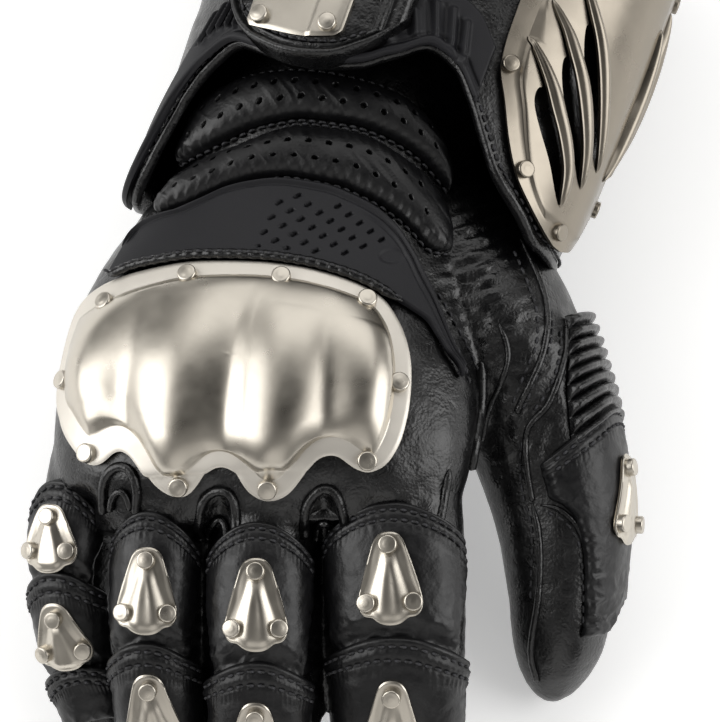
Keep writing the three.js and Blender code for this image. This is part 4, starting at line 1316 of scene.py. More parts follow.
@dataclass
class ArmourPlate:
    """A stamped steel plate, a rounded triangle with a spine that flares to a lip."""

    panel: BackPanel
    start: float
    long: float = 1.0
    wide: float = 1.0
    centre: float = 90.0
    length: float = 21.0
    width: float = 16.8
    spine: float = 0.85
    apex: float = 3.55
    corner: float = 3.0

    @property
    def studs(self) -> Array:
        """Where the three rivets stand: along and across in mm."""
        long, wide = self.length * self.long, self.width * self.wide
        return np.array([(self.apex - 0.3, 0.0), (long - 4.7, wide / 2 - 2.95), (long - 4.7, 2.95 - wide / 2)])

    def outline(self, count: int = 112) -> Array:
        """Edge of the plate: distance along and across in mm from its top."""
        long = self.length * self.long
        top, right, left = self.studs
        corners = [(self.apex, 0.0, self.apex), (*right, self.corner), (*left, self.corner)]
        middle = np.array([long * 0.58, 0.0])
        theta = np.linspace(0, 2 * math.pi, 720, endpoint=False)
        ways = np.stack([np.cos(theta), np.sin(theta)], axis=1)
        support = np.array([[c[0] * w[0] + c[1] * w[1] + c[2] for c in corners] for w in ways])
        reach = np.full(len(theta), 1e9)
        for w, s in zip(ways, support.max(axis=1)):
            facing = ways @ w
            limit = np.where(facing > 1e-6, (s - middle @ w) / np.maximum(facing, 1e-6), 1e9)
            reach = np.minimum(reach, limit)
        lip_centre, lip_radius = np.array([long - 5.6, 0.0]) - middle, 5.6
        along = ways @ lip_centre
        inside = lip_radius**2 - (lip_centre @ lip_centre - along**2)
        reach = np.maximum(reach, np.where(inside > 0, along + np.sqrt(np.maximum(inside, 0)), 0))
        kernel = np.hanning(43)[1:-1] / np.hanning(43).sum()
        reach = np.convolve(np.concatenate([reach[-20:], reach, reach[:20]]), kernel, mode="valid")
        edge = middle + ways * reach[:, None]
        ring = np.vstack([edge, edge[:1]])
        run = run_along(ring)
        at = np.linspace(0, run[-1], count, endpoint=False)
        return read_rows(ring, run, at)

    def relief(self, along: Array, across: Array, depth: Array) -> Array:
        """Height of the stamping over the flat of the plate."""
        t = along / (self.length * self.long)
        x = np.abs(across)
        half = 1.0 + 2.5 * smooth(0.2, 0.98, t)
        tall = self.spine * smooth(0.16, 0.42, t) * (1 - 0.55 * smooth(0.86, 1.0, t))
        ridge = tall * (1 - smooth(half * 0.1, half * 1.7, x))
        groove = 0.22 * smooth(0.35, 0.6, t) * bell(x, half * 0.32)
        flute = 0.25 * bell(x - half * 1.35 - 1.2, 2.0) * smooth(0.28, 0.6, t)
        edge = 0.15 * (1 - smooth(0.2, 1.4, depth))
        return (ridge - groove - flute) * smooth(0.2, 1.6, depth) + edge

    def lay(self, along: Array, across: Array, off: Array | float) -> Array:
        """Point of the plate over its panel."""
        share = self.start + along / self.panel.tube.length
        angle = self.centre - self.panel.tube.degrees(share, self.centre, across)
        return self.panel.tube.at(share, angle, SEAT + PANEL + self.panel.crown + 0.1 + off)

    def build(self, name: str, node: str, rivet: Rivet) -> None:
        """The plate and its three rivets, as one piece."""
        edge = self.outline()
        middle = np.array([self.length * self.long * 0.58, 0.0])
        rings = np.concatenate([np.linspace(0, 0.88, 20), [0.915, 0.945, 0.97, 0.988, 1.0]])
        count = len(edge)
        spots = np.vstack([middle[None, :]] + [middle + (edge - middle) * s for s in rings[1:]])
        scale = np.concatenate([[0.0]] + [np.full(count, s) for s in rings[1:]])
        reach = np.concatenate([[8.0], np.tile(np.linalg.norm(edge - middle, axis=1), len(rings) - 1)])
        depth = (1 - scale) * reach * 0.9
        fall = 0.3 * (1 - smooth(0, 0.35, depth))
        height = STEEL + self.relief(spots[:, 0], spots[:, 1], depth) - fall
        points = self.lay(spots[:, 0], spots[:, 1], height)
        faces = [(0, 1 + i, 1 + (i + 1) % count) for i in range(count)]
        faces += ring_faces(len(rings) - 1, count, 1)
        plate = mesh_piece(name, points, faces)
        out = self.panel.tube.normal(np.array([self.start + 0.05]), np.array([self.centre]))[0]
        thicken(plate, STEEL, out)
        shade(plate, STEEL_ANGLE)
        studs = self.studs
        share = self.start + studs[:, 0] / self.panel.tube.length
        angle = self.centre - self.panel.tube.degrees(share, self.centre, studs[:, 1])
        stood = self.lay(studs[:, 0], studs[:, 1], STEEL)
        out = self.panel.tube.normal(share, angle)
        rivets = rivet.rows(name + "_rivets", stood, out, 0.98 * self.wide**0.5)
        settle(joined(name, [plate, rivets]), Finish.STEEL, node)


@dataclass
class ArmouredFinger:
    """The back of one finger: overlapping panels, each with its steel plate."""

    name: str
    tube: Tube
    panels: tuple[float, ...]
    plates: tuple[float, ...]
    angles: tuple[float, float]
    long: float
    wide: float
    seed: int
    peak: float = 90.0

    def build(self, rivet: Rivet) -> Seams:
        """Panels, plates and the lines to stitch."""
        lap = (PANEL_OVERLAP - GAP) / self.tube.length
        first, last = self.angles
        seams = []
        for n, start in enumerate(self.panels[:-1]):
            final = n == len(self.panels) - 2
            stop = self.panels[n + 1] + (0 if final else lap)
            pinch = 17 if n == 0 else 9
            span = stop - start
            sides = (
                (start, first + 4, last - 4),
                (start + span * 0.2, first, last),
                (start + span * 0.55, first, last),
                (start + span * 0.95, first + pinch, last - pinch),
                (stop + 0.1, first + pinch, last - pinch),
            )
            panel = BackPanel(
                self.tube,
                start,
                stop,
                sides,
                arch_top=9.5 if n == 0 else 6.0,
                arch_end=6.0,
                lapped=n > 0,
                tucked=not final,
                seed=self.seed + n,
                peak=self.peak,
            )
            panel.build(f"{self.name}_padded_panel_{n + 1}", f"{self.name}_back_panel_{n + 1}")
            seams += panel.seams()
            if n < len(self.plates):
                plate = ArmourPlate(panel, self.plates[n], self.long, self.wide)
                plate.build(f"{self.name}_steel_plate_{n + 1}", f"{self.name}_armour_plate_{n + 1}", rivet)
        return seams


FINGERS = (
    ArmouredFinger("index", INDEX, (0.236, 0.5, 0.8), (0.302, 0.568), (6, 174), 1.0, 1.0, 10),
    ArmouredFinger("middle", MIDDLE, (0.262, 0.518, 0.78), (0.339, 0.579), (10, 170), 0.97, 0.96, 20),
    ArmouredFinger("ring", RING, (0.25, 0.522, 0.79), (0.333, 0.576), (10, 170), 0.94, 0.93, 30, 94),
    ArmouredFinger("little", LITTLE, (0.225, 0.466, 0.71, 0.88), (0.296, 0.541), (12, 168), 0.74, 0.88, 40),
)


@dataclass
class ThumbArmour:
    """The thumb's ribbed stretch panel, its padded back panel and its steel plate."""

    first: float = 0.36
    start: float = 0.516
    stop: float = 0.866
    arch: float = 8.5
    ribs: int = 9
    rib_height: float = 2.6
    ribs_from: float = 34.0
    ribs_edge: tuple = ((0.34, 92), (0.369, 94), (0.414, 113), (0.467, 134), (0.516, 144), (0.6, 146))
    sides: tuple = (
        (0.5, 22, 170), (0.56, 20, 172), (0.6, 20, 173), (0.645, 20, 172), (0.672, 20, 161), (0.7, 22, 150),
        (0.735, 24, 141), (0.77, 30, 136), (0.81, 52, 131), (0.84, 74, 126), (0.875, 94, 122),
    )

    def build(self, rivet: Rivet) -> Seams:
        """Ribs, panel, plate and the lines to stitch."""
        panel = BackPanel(
            THUMB,
            self.start,
            self.stop,
            self.sides,
            arch_top=self.arch,
            arch_end=2.0,
            tucked=False,
            seed=60,
            crown=0.8,
            peak=84,
        )

        def place(u: Array, v: Array) -> Array:
            """Points of the sheet for shares across and along."""
            last = eased(self.ribs_edge, self.first + (self.start - self.first) * v, 1)
            angle = mix(self.ribs_from, last, u)
            bowed = panel.bow(angle, self.arch) * v**1.5 / THUMB.length
            share = self.first + (self.start + 0.022 - self.first) * v + bowed
            wave = np.abs(np.sin(v * self.ribs * math.pi)) ** 0.6
            ends = np.sqrt(np.clip(from_ends(u) / 0.07, 0, 1))
            under = smooth(0.93, 0.985, v)
            height = SEAT + (0.2 + 0.5 * ends + self.rib_height * wave * ends) * (1 - 0.8 * under)
            flat = THUMB.at(share, angle, height)
            return THUMB.at(share, angle, height + 0.12 * crumple(flat, 5, 50, 2) * ends)

        ribs = draped_grid("thumb_stretch_ribs_leather", 80, 220, place)
        thicken(ribs, 0.6, THUMB.normal(np.array([0.45]), np.array([90.0]))[0])
        shade(ribs, SHEET_ANGLE)
        settle(ribs, Finish.SMOOTH_LEATHER, "thumb_stretch_ribs", padded=0.6)
        panel.build("thumb_padded_panel", "thumb_back_panel")
        plate = ArmourPlate(panel, 0.594, 0.95, 0.95, centre=93.0)
        plate.build("thumb_steel_plate", "thumb_armour_plate", rivet)
        return panel.seams()


# ---- Knuckle guard ----


@dataclass
class KnuckleGuard:
    """The stamped steel guard: a flat flange round a dome with four knuckle bulges.

    The outline is a closed row of angles round the hand and shares of its length.
    """

    stand: float = 1.1
    dome: float = 4.5
    bulge: float = 2.4
    flange: float = 4.1
    marches: int = 20
    march: float = 0.38
    closes: int = 28
    outline: tuple = (
        (157, 0.7615), (157, 0.7306), (157, 0.7124), (157, 0.697), (155, 0.686), (151, 0.678),
        (145.3, 0.6717), (137.5, 0.664), (129.6, 0.6563), (119.8, 0.6451), (111.1, 0.6325), (103.6, 0.6234),
        (97.2, 0.615), (92, 0.6073), (88.1, 0.602), (82.5, 0.5988), (75.6, 0.5995), (70, 0.6023),
        (64.8, 0.608), (60.3, 0.62), (56.3, 0.6437), (53, 0.6731), (50.7, 0.7208), (49.1, 0.7622),
        (48.5, 0.7958), (48.5, 0.826), (49.1, 0.8526), (50.3, 0.8785), (52.4, 0.901), (54.5, 0.9178),
        (57, 0.9297), (60.3, 0.9353), (63.8, 0.9304), (67.3, 0.9171), (69.6, 0.9066), (71.9, 0.9038),
        (74.2, 0.9059), (76.3, 0.915), (77.7, 0.9318), (79.6, 0.9479), (81.4, 0.9613), (83.7, 0.9704),
        (86.8, 0.9739), (89.1, 0.9683), (90.4, 0.9571), (91.4, 0.9409), (92.8, 0.9213), (94.5, 0.9135),
        (96.8, 0.9175), (98.9, 0.9335), (101.2, 0.9486), (103.6, 0.9592), (106.5, 0.9641), (109.7, 0.9606),
        (112.4, 0.95), (114.6, 0.933), (116.4, 0.9082), (118.6, 0.8905), (121.7, 0.8827), (125, 0.8848),
        (128.5, 0.8926), (132.9, 0.8954), (137.2, 0.8891), (140.8, 0.8785), (145.3, 0.8659), (149.3, 0.8533),
        (153.4, 0.8344), (156, 0.81), (157, 0.787),
    )
    rivets: tuple = (
        (134.8, 0.6925), (108.6, 0.6555), (88.5, 0.6315), (66.5, 0.632), (149.5, 0.787), (53.0, 0.806),
        (134.5, 0.8815), (105.9, 0.9485), (86.8, 0.9565), (61.5, 0.9145),
    )
    # Share of the length, then angles of left end, bulge, valley, ..., right end.
    flutes: tuple = (
        (0.6, 160, 134, 114, 101, 91, 84, 76, 66, 44),
        (0.82, 160, 134, 118.5, 104, 92.8, 84, 74.2, 62, 42),
        (0.95, 160, 133, 121.5, 106.3, 94.3, 86.8, 71.9, 60.3, 42),
    )

    def flat_map(self) -> None:
        """Lengths round the hand, so that the guard can be worked out flat in mm."""
        self.fine = np.linspace(40, 162, 800)
        self.run = run_along(HAND.at(np.full(len(self.fine), 0.8), self.fine))

    def to_flat(self, angle: Array, share: Array) -> Array:
        """Flat place in mm of an angle and a share."""
        return np.stack([np.interp(angle, self.fine, self.run), np.asarray(share) * HAND.length], axis=-1)

    def from_flat(self, flat: Array) -> tuple[Array, Array]:
        """Angle and share of a flat place."""
        return np.interp(flat[..., 0], self.run, self.fine), flat[..., 1] / HAND.length

    def edge(self, count: int) -> Array:
        """The outline, smoothed and evenly spaced."""
        corners = self.to_flat(*np.array(self.outline).T)
        wrapped = np.vstack([corners[-2:], corners, corners[:3]])
        last = len(wrapped) - 1
        line = catmull(wrapped, np.linspace(2 / last, (last - 2) / last, 4000))
        run = run_along(line)
        at = np.linspace(0, run[-1], count, endpoint=False)
        even = read_rows(line, run, at)
        return self.rounded(even, 5)

    def rounded(self, ring: Array, width: int) -> Array:
        """A closed line averaged over its neighbours."""
        kernel = np.hanning(2 * width + 3)[1:-1]
        kernel /= kernel.sum()
        padded = np.vstack([ring[-width:], ring, ring[:width]])
        return np.stack([np.convolve(padded[:, k], kernel, mode="valid") for k in range(2)], axis=1)

    def inwards(self, ring: Array) -> Array:
        """Unit directions into a closed line that runs either way round."""
        ahead = unit(np.roll(ring, -2, axis=0) - np.roll(ring, 2, axis=0))
        across = np.stack([-ahead[:, 1], ahead[:, 0]], axis=1)
        middle = ring.mean(axis=0)
        return across if ((middle - ring) * across).sum() > 0 else -across

    def pillow(self, crease: Array, step: float = 0.8) -> Callable[[Array], Array]:
        """Height, 0 to 1 squared, of an evenly blown skin held along the crease."""
        low = crease.min(axis=0) - 3
        columns, rows = (np.ceil((crease.max(axis=0) + 3 - low) / step)).astype(int)
        xs, ys = np.meshgrid(np.arange(columns) * step + low[0], np.arange(rows) * step + low[1], indexing="ij")
        inside = np.zeros(xs.shape, bool)
        x0, y0 = crease[:, 0], crease[:, 1]
        x1, y1 = np.roll(x0, -1), np.roll(y0, -1)
        for a, b, c, d in zip(x0, y0, x1, y1):
            if b != d:
                inside ^= ((b > ys) != (d > ys)) & (xs < (c - a) * (ys - b) / (d - b) + a)
        height = np.zeros(inside.shape)
        for _ in range(1600):
            around = sum(np.roll(height, way, axis) for axis in (0, 1) for way in (1, -1))
            height = np.where(inside, around / 4 + step * step / 4, 0.0)
        height /= height.max()

        def read(flat: Array) -> Array:
            """Height between the cells of the grid."""
            x = np.clip((flat[..., 0] - low[0]) / step, 0, columns - 1.001)
            y = np.clip((flat[..., 1] - low[1]) / step, 0, rows - 1.001)
            i, j = x.astype(int), y.astype(int)
            a, b = x - i, y - j
            left = height[i, j] * (1 - b) + height[i, j + 1] * b
            right = height[i + 1, j] * (1 - b) + height[i + 1, j + 1] * b
            return left * (1 - a) + right * a

        return read

    def swell(self, angle: Array, share: Array) -> Array:
        """Height, 0 to 1, of the four bulges side by side."""
        table = np.array(self.flutes, float)
        lines = [eased(table[:, [0, k]], share, 1) for k in range(1, 10)]
        out = np.zeros_like(angle)
        for n in range(4):
            left, middle, right = lines[2 * n], lines[2 * n + 1], lines[2 * n + 2]
            reach = np.where(angle > middle, left - middle, middle - right)
            t = np.clip(np.abs(angle - middle) / reach, 0, 1)
            here = (angle <= left) & (angle > right)
            out = np.where(here, (np.sqrt((1 - t * t) ** 2 + 0.2) - 0.447) / 0.648, out)
        return out

    def build(self, rivet: Rivet) -> None:
        """The guard and its ten rivets, as one piece."""
        self.flat_map()
        edge = self.edge(520)
        inward = self.inwards(edge)
        for _ in range(3):
            inward = unit(self.rounded(inward, 6))
        crease = self.rounded(edge + inward * self.flange, 9)
        read = self.pillow(crease)
        depths = np.array([0, 0.2, 0.5, 1.2, 2.1, 3.2, 3.9])
        rings = [edge + (crease - edge) * d / self.flange for d in depths] + [crease]
        lifts = [np.zeros(len(edge))] * len(rings)
        middle = self.to_flat(np.array(92.0), np.array(0.79))
        # March in from the crease, each line rounder than the last, then draw in on the middle.
        ring = crease
        for n in range(self.marches):
            way = unit(self.rounded(self.inwards(ring), 4))
            ring = self.rounded(ring + way * self.march, 7 + 13 * n // self.marches)
            rings.append(ring)
        blown = read(rings[len(depths) + 4])
        lifts += [blown * (n / 4) ** 1.3 for n in range(1, 5)]
        lifts += [read(line) for line in rings[len(depths) + 5 :]]
        for left in range(self.closes, 1, -1):
            ring = self.rounded(ring + (middle - ring) / left, 10)
            rings.append(ring)
            lifts.append(read(ring))
        flat = np.vstack(rings + [middle[None, :]])
        lift = np.maximum(np.concatenate(lifts + [read(middle[None, :])]), 0) ** 0.66
        count = len(edge)
        depth = np.concatenate([np.repeat(depths, count), np.full(len(flat) - len(depths) * count, 3.7)])
        angle, share = self.from_flat(flat)
        bulges = self.bulge * self.swell(angle, share) * smooth(0.0, 0.6, lift) * smooth(0.62, 0.84, share)
        height = lift * self.dome + bulges - 0.3 * (1 - smooth(0, 0.5, depth))
        points = HAND.at(share, angle, self.stand + STEEL + height)
        faces = ring_faces(len(rings), count)
        a, tip = (len(rings) - 1) * count, len(flat) - 1
        faces += [(a + i, tip, a + (i + 1) % count) for i in range(count)]
        sheet = mesh_piece("stamped_knuckle_guard", points, faces)
        thicken(sheet, STEEL, UPWARDS)
        shade(sheet, STEEL_ANGLE)
        spots = np.array(self.rivets)
        stood = HAND.at(spots[:, 1], spots[:, 0], self.stand + STEEL - 0.05)
        studs = rivet.rows("guard_rivets", stood, HAND.normal(spots[:, 1], spots[:, 0]), 1.02)
        guard = settle(joined("stamped_knuckle_guard", [sheet, studs]), Finish.STEEL, "knuckle_guard")
        # The flange faces wear the lighter steel, a painted highlight.
        rim = len(depths) * count
        bands = [face for face in guard.data.polygons[: 2 * len(faces)] if face.index % len(faces) < rim]
        WARDROBE.trim(guard, Finish.FLANGE_STEEL_PAINTED_BRIGHT, bands)


# ---- Rubber yoke and wrist rolls ----


@dataclass
class Yoke:
    """The moulded rubber crescent above the guard, with a raised rim and a field of slots."""

    top: tuple = (
        (141.5, 0.6), (139.5, 0.565), (133.2, 0.535), (125.9, 0.517), (117.7, 0.488), (111.2, 0.456),
        (104.4, 0.435), (98, 0.421), (93.1, 0.416), (87, 0.415), (79, 0.424), (70.1, 0.439), (62.8, 0.462),
        (57.3, 0.491), (51.8, 0.523), (45, 0.557), (38, 0.6), (30, 0.66), (24, 0.71),
    )
    bottom: tuple = (
        (141.5, 0.65), (137.5, 0.654), (129.6, 0.6443), (119.8, 0.6331), (111.1, 0.6205), (103.6, 0.6114),
        (97.2, 0.603), (92, 0.5953), (88.1, 0.59), (82.5, 0.5868), (75.6, 0.5875), (70, 0.5903), (64.8, 0.596),
        (58.5, 0.605), (52, 0.612), (45, 0.62), (38, 0.65), (30, 0.71), (24, 0.75),
    )
    # The slots stand in a leaning lattice: its origin and two steps, in pixels as seen.
    origin: tuple[float, float] = (337.9, 206.0)
    down: tuple[float, float] = (11.0, 8.4)
    left: tuple[float, float] = (-18.4, 6.5)
    rows: tuple = ((0, 0, 4), (1, -2, 4), (2, -2, 4), (3, -1, 3), (4, 0, 2), (5, 1, 2))
    slot_half: tuple[float, float] = (4.0, 1.5)
    slot_depth: float = 1.2
    slot_lean: float = 28.0
    cord: float = 1.3
    grid: tuple[int, int] = (400, 110)

    def slots(self, seen: Array) -> Array:
        """Depth of the slots, 0 to 1, where a point is seen."""
        depth = np.zeros(len(seen))
        lean = math.radians(self.slot_lean)
        for j, first, last in self.rows:
            for i in range(first, last + 1):
                x = self.origin[0] + i * self.down[0] + j * self.left[0]
                y = self.origin[1] + i * self.down[1] + j * self.left[1]
                close = np.hypot(seen[:, 0] - x, seen[:, 1] - y) < 8
                dx, dy = seen[close, 0] - x, y - seen[close, 1]
                along = dx * math.cos(lean) + dy * math.sin(lean)
                across = -dx * math.sin(lean) + dy * math.cos(lean)
                reach = np.hypot(np.maximum(np.abs(along) - self.slot_half[0] + self.slot_half[1], 0), across)
                fall = smooth(self.slot_half[1] * 0.6, self.slot_half[1] * 1.25, reach)
                depth[close] = np.maximum(depth[close], 1 - fall)
        return depth

    def build(self) -> Seams:
        """The rubber crescent and its corded lower edge, and the line stitched along it."""

        def place(u: Array, v: Array) -> Array:
            """Points of the sheet for shares across and along."""
            angle = mix(self.top[0][0], self.top[-1][0], u)
            top, bottom = eased(self.top, angle, 1), eased(self.bottom, angle, 1)
            share = mix(top, bottom, v)
            tall = (bottom - top) * HAND.length
            above, below = v * tall, (1 - v) * tall
            near = np.minimum(np.minimum(above, below), from_ends(u) * 80)
            right = smooth(80, 60, angle)
            rim = 0.75 * bell(above - 1.4, 0.8) - 0.3 * bell(above - 2.9, 0.4)
            rim = rim + right * (0.4 * bell(above - 4.0, 0.55) - 0.25 * bell(above - 5.2, 0.35))
            fall = 1.6 * (1 - rounding(near, 1.1))
            height = SEAT + RUBBER * 0.85 + rim * smooth(4, 9, tall) - fall
            seen = VIEW.seen(HAND.at(share, angle, height))
            mark = smooth(1.0, 0.6, np.hypot((seen[:, 0] - 392) / 15, (seen[:, 1] - 256) / 9)) * 0.35
            height = height - self.slot_depth * self.slots(seen) * smooth(2.0, 3.0, near) - mark
            return HAND.at(share, angle, height)

        sheet = draped_grid("moulded_rubber_yoke", *self.grid, place)
        thicken(sheet, 1.6, UPWARDS)
        shade(sheet, SHEET_ANGLE)
        settle(sheet, Finish.RUBBER, "knuckle_yoke")
        angle = np.linspace(141, 56, 260)
        share = eased(self.bottom, angle, 1) + 0.2 / HAND.length
        line, out = HAND.at(share, angle, 2.6), HAND.normal(share, angle)
        run = run_along(line)
        ends = np.sqrt(np.clip(np.minimum(run, run[-1] - run) / 4, 0.08, 1))
        radius = self.cord * ends * (1 + 0.07 * np.sin(run * 2 * math.pi / 2.9))
        cord = cord_mesh("corded_yoke_edge", line, radius, 12, 0.9, out)
        face_outwards(cord)
        shade(cord)
        settle(cord, Finish.SMOOTH_LEATHER)
        return [(line + out * 1.15, out)]


@dataclass
class WristRoll:
    """A padded leather roll over the wrist with two rows of air holes."""

    name: str
    node: str
    top: tuple
    bottom: tuple
    rows: tuple[float, float]
    seed: int
    height: float = 5.0
    hole: float = 0.62
    pitch: float = 4.75
    grid: tuple[int, int] = (470, 70)

    def build(self) -> Seams:
        """The roll, and the lines of stitches along its edges."""
        first, last = self.top[0][0], self.top[-1][0]
        fine = np.linspace(first, last, 400)
        middle = (eased(self.top, fine, 1) + eased(self.bottom, fine, 1)) / 2
        arc = run_along(HAND.at(middle, fine))
        total = float(arc[-1])
        holes = []
        for row, share in enumerate(self.rows):
            count = int((total - 15) / self.pitch)
            for k in range(count):
                holes.append((7.5 + (k + 0.5 * row) * self.pitch, share))

        def place(u: Array, v: Array) -> Array:
            """Points of the sheet for shares across and along."""
            angle = mix(first, last, u)
            top, bottom = eased(self.top, angle, 1), eased(self.bottom, angle, 1)
            share = mix(top, bottom, v)
            tall = (bottom - top) * HAND.length
            run = np.interp(u, (fine - first) / (last - first), arc)
            ends = np.minimum(run, total - run)
            crown = np.sqrt(np.clip(1 - np.abs(2 * v - 1) ** 2.3, 0, 1))
            ease = rounding(ends, 10)
            height = SEAT + 0.1 + (self.height - 0.3) * crown * ease
            flat = HAND.at(share, angle, height)
            puckers = 0.3 * np.sin(run * 2 * math.pi / 2.7 + 2.2 * crumple(flat, 7, self.seed, 1))
            puckers = puckers * bell(from_ends(v), 0.13)
            lean = np.stack([flat[:, 0] * 1.0 + flat[:, 1] * 0.7, flat[:, 1] * 0.35, flat[:, 2] * 0.4], axis=1)
            wrinkles = np.clip(1 - np.abs(crumple(lean, 5.5, self.seed + 4, 2)) * 2.8, -0.3, 1)
            rough = 0.25 * crumple(flat, 11, self.seed + 1, 2) + 0.1 * wrinkles * (1 + 1.5 * bell(ends, 12))
            dent = np.zeros(len(u))
            for at, row in holes:
                close = np.abs(run - at) < 1.5
                away = np.hypot((run - at)[close], ((v - row) * tall)[close])
                dent[close] = np.maximum(dent[close], 1 - smooth(self.hole * 0.8, self.hole * 1.2, away))
            return HAND.at(share, angle, height + (puckers + rough) * crown**0.3 * ease - 1.9 * dent)

        roll = draped_grid(self.name, *self.grid, place)
        thicken(roll, 0.8, UPWARDS)
        shade(roll, SHEET_ANGLE)
        settle(roll, Finish.PANEL_LEATHER, self.node, padded=0.7)
        lines = []
        for table, away in ((self.top, -0.7), (self.bottom, 0.7)):
            edge = eased(table, fine, 1) + away / HAND.length
            lines.append((HAND.at(edge, fine, 0.6), HAND.normal(edge, fine)))
        return lines


ROLLS = (
    WristRoll(
        "upper_padded_roll",
        "upper_wrist_roll",
        (
            (156, 0.335), (150, 0.29), (144, 0.257), (134, 0.243), (124.7, 0.233), (112, 0.222), (102.4, 0.214),
            (87.6, 0.208), (70.9, 0.21), (60, 0.224), (52.6, 0.241), (46, 0.27), (40, 0.31), (36, 0.335),
        ),
        (
            (156, 0.37), (150, 0.385), (144.2, 0.374), (134.4, 0.353), (124, 0.331), (114.2, 0.309),
            (104, 0.294), (94.9, 0.284), (83.1, 0.283), (72, 0.291), (62, 0.304), (53, 0.32), (45, 0.34),
            (36, 0.362),
        ),
        (0.33, 0.66),
        70,
    ),
    WristRoll(
        "lower_padded_roll",
        "lower_wrist_roll",
        (
            (141, 0.475), (134, 0.42), (128.9, 0.394), (120, 0.362), (112.7, 0.336), (104, 0.313),
            (94.4, 0.299), (83, 0.298), (74, 0.306), (65.8, 0.321), (57, 0.338), (49.3, 0.357), (42, 0.38),
            (35, 0.42),
        ),
        (
            (141, 0.51), (135, 0.522), (126, 0.508), (118, 0.478), (111.2, 0.447), (104.4, 0.427),
            (93.1, 0.408), (83.6, 0.409), (76, 0.418), (69, 0.428), (62, 0.442), (55, 0.46), (46, 0.482),
            (35, 0.47),
        ),
        (0.34, 0.68),
        80,
    ),
)


# ---- Cuff ----


CUFF_RIM = (
    (-90, 0.8), (-45, 0.785), (-10, 0.8), (10, 0.82), (26, 0.821), (40, 0.79), (52.6, 0.752), (61.5, 0.698),
    (70, 0.633), (76, 0.592), (83, 0.576), (89, 0.61), (94, 0.645), (100, 0.662), (108, 0.673), (120, 0.668),
    (130, 0.66), (140, 0.7), (150, 0.77), (158, 0.85), (168, 0.92), (180, 0.95), (195, 0.93), (225, 0.85),
    (270, 0.8),
)


def rim_at(angle: Array) -> Array:
    """Share of the cuff's length where its hand-side rim lies."""
    return eased(CUFF_RIM, np.where(angle > 270, angle - 360, angle), 1)


@dataclass
class CuffSleeve:
    """The gauntlet sleeve: two layers of leather sewn at a rolled rim."""

    wall: float = CUFF_WALL
    segments: int = 280
    rim_seam: float = 3.2
    mouth_seam: float = 4.0

    def build(self) -> Seams:
        """The sleeve, and the lines of stitches round its rim and mouth."""
        angles = np.linspace(0, 360, self.segments, endpoint=False)
        rim = rim_at(angles)
        outside = np.concatenate([np.linspace(0.006, 0.97, 72), [0.985, 0.995]])
        inside = np.linspace(0.99, 0.01, 26)
        rings = []
        for step in outside:
            share = rim * step
            flat = CUFF.at(share, angles, 0)
            away = (rim - share) * CUFF.length
            seams = bell(away - self.rim_seam, 0.5) + bell(share * CUFF.length - self.mouth_seam, 0.6)
            relief = 0.4 * crumple(flat, 16, 90, 3) - 0.35 * seams + 0.5 * bell(away - 1.2, 1.1)
            rings.append(CUFF.at(share, angles, relief * smooth(0.2, 3.0, flat[:, 2])))
        rings.append(CUFF.at(rim, angles, -0.3))
        rings.append(CUFF.at(rim, angles, -self.wall + 0.5, 0.6))
        for step in inside:
            share = rim * step
            flat = CUFF.at(share, angles)
            rings.append(CUFF.at(share, angles, -self.wall + 0.2 * crumple(flat, 14, 95, 2), self.wall))
        rings.append(CUFF.at(rim * 0.0, angles, -self.wall + 0.5, 0.6))
        rings.append(CUFF.at(rim * 0.0, angles, -0.5, 0.2))
        faces = ring_faces(len(rings), self.segments, closed=True)
        sleeve = mesh_piece("leather_cuff_sleeve", np.concatenate(rings), faces)
        face_outwards(sleeve)
        shade(sleeve)
        settle(sleeve, Finish.SMOOTH_LEATHER, "cuff_shell")
        around = np.concatenate([angles, angles[:1]])
        edge = rim_at(around)
        lines = []
        for share in (edge - self.rim_seam / CUFF.length, np.full_like(edge, self.mouth_seam / CUFF.length)):
            points = CUFF.at(share, around, 0.15)
            keep = points[:, 2] > 6
            lines.append((points[keep], CUFF.normal(share, around)[keep]))
        return lines


@dataclass
class WristGusset:
    """The leather that joins the wrist of the hand to the inside of the cuff, as a soft funnel."""

    wall: float = 1.2
    hand_share: float = 0.012
    cuff_share: float = 0.3
    sag: float = 0.16
    pleats: int = 26
    segments: int = 260

    def build(self) -> None:
        """A closed funnel, its front and its back."""
        angles = np.linspace(0, 360, self.segments, endpoint=False)
        hand = HAND.at(np.full(self.segments, self.hand_share), angles, -0.6)
        cuff = CUFF.at(np.full(self.segments, self.cuff_share), angles, -CUFF_WALL + 0.2, CUFF_WALL - 0.2)
        back = np.array(along_cuff(1, 0)) - np.array(along_cuff(0, 0))
        width = np.linalg.norm(cuff - hand, axis=1)
        fold = 0.5 * np.sin(np.radians(angles) * self.pleats)
        rings = []
        for face, shares in ((0.0, np.linspace(0, 1, 16)), (self.wall, np.linspace(1, 0, 16))):
            for v in shares:
                deep = math.sin(math.pi * v) * (self.sag * width + fold) - face
                ring = hand * (1 - v) + cuff * v - back * deep[:, None]
                rings.append(ring + 0.3 * crumple(ring, 9, 98, 2)[:, None] * back * math.sin(math.pi * v))
        faces = ring_faces(len(rings), self.segments, closed=True)
        gusset = mesh_piece("wrist_gusset_leather", np.concatenate(rings), faces)
        face_outwards(gusset)
        shade(gusset)
        settle(gusset, Finish.SMOOTH_LEATHER)


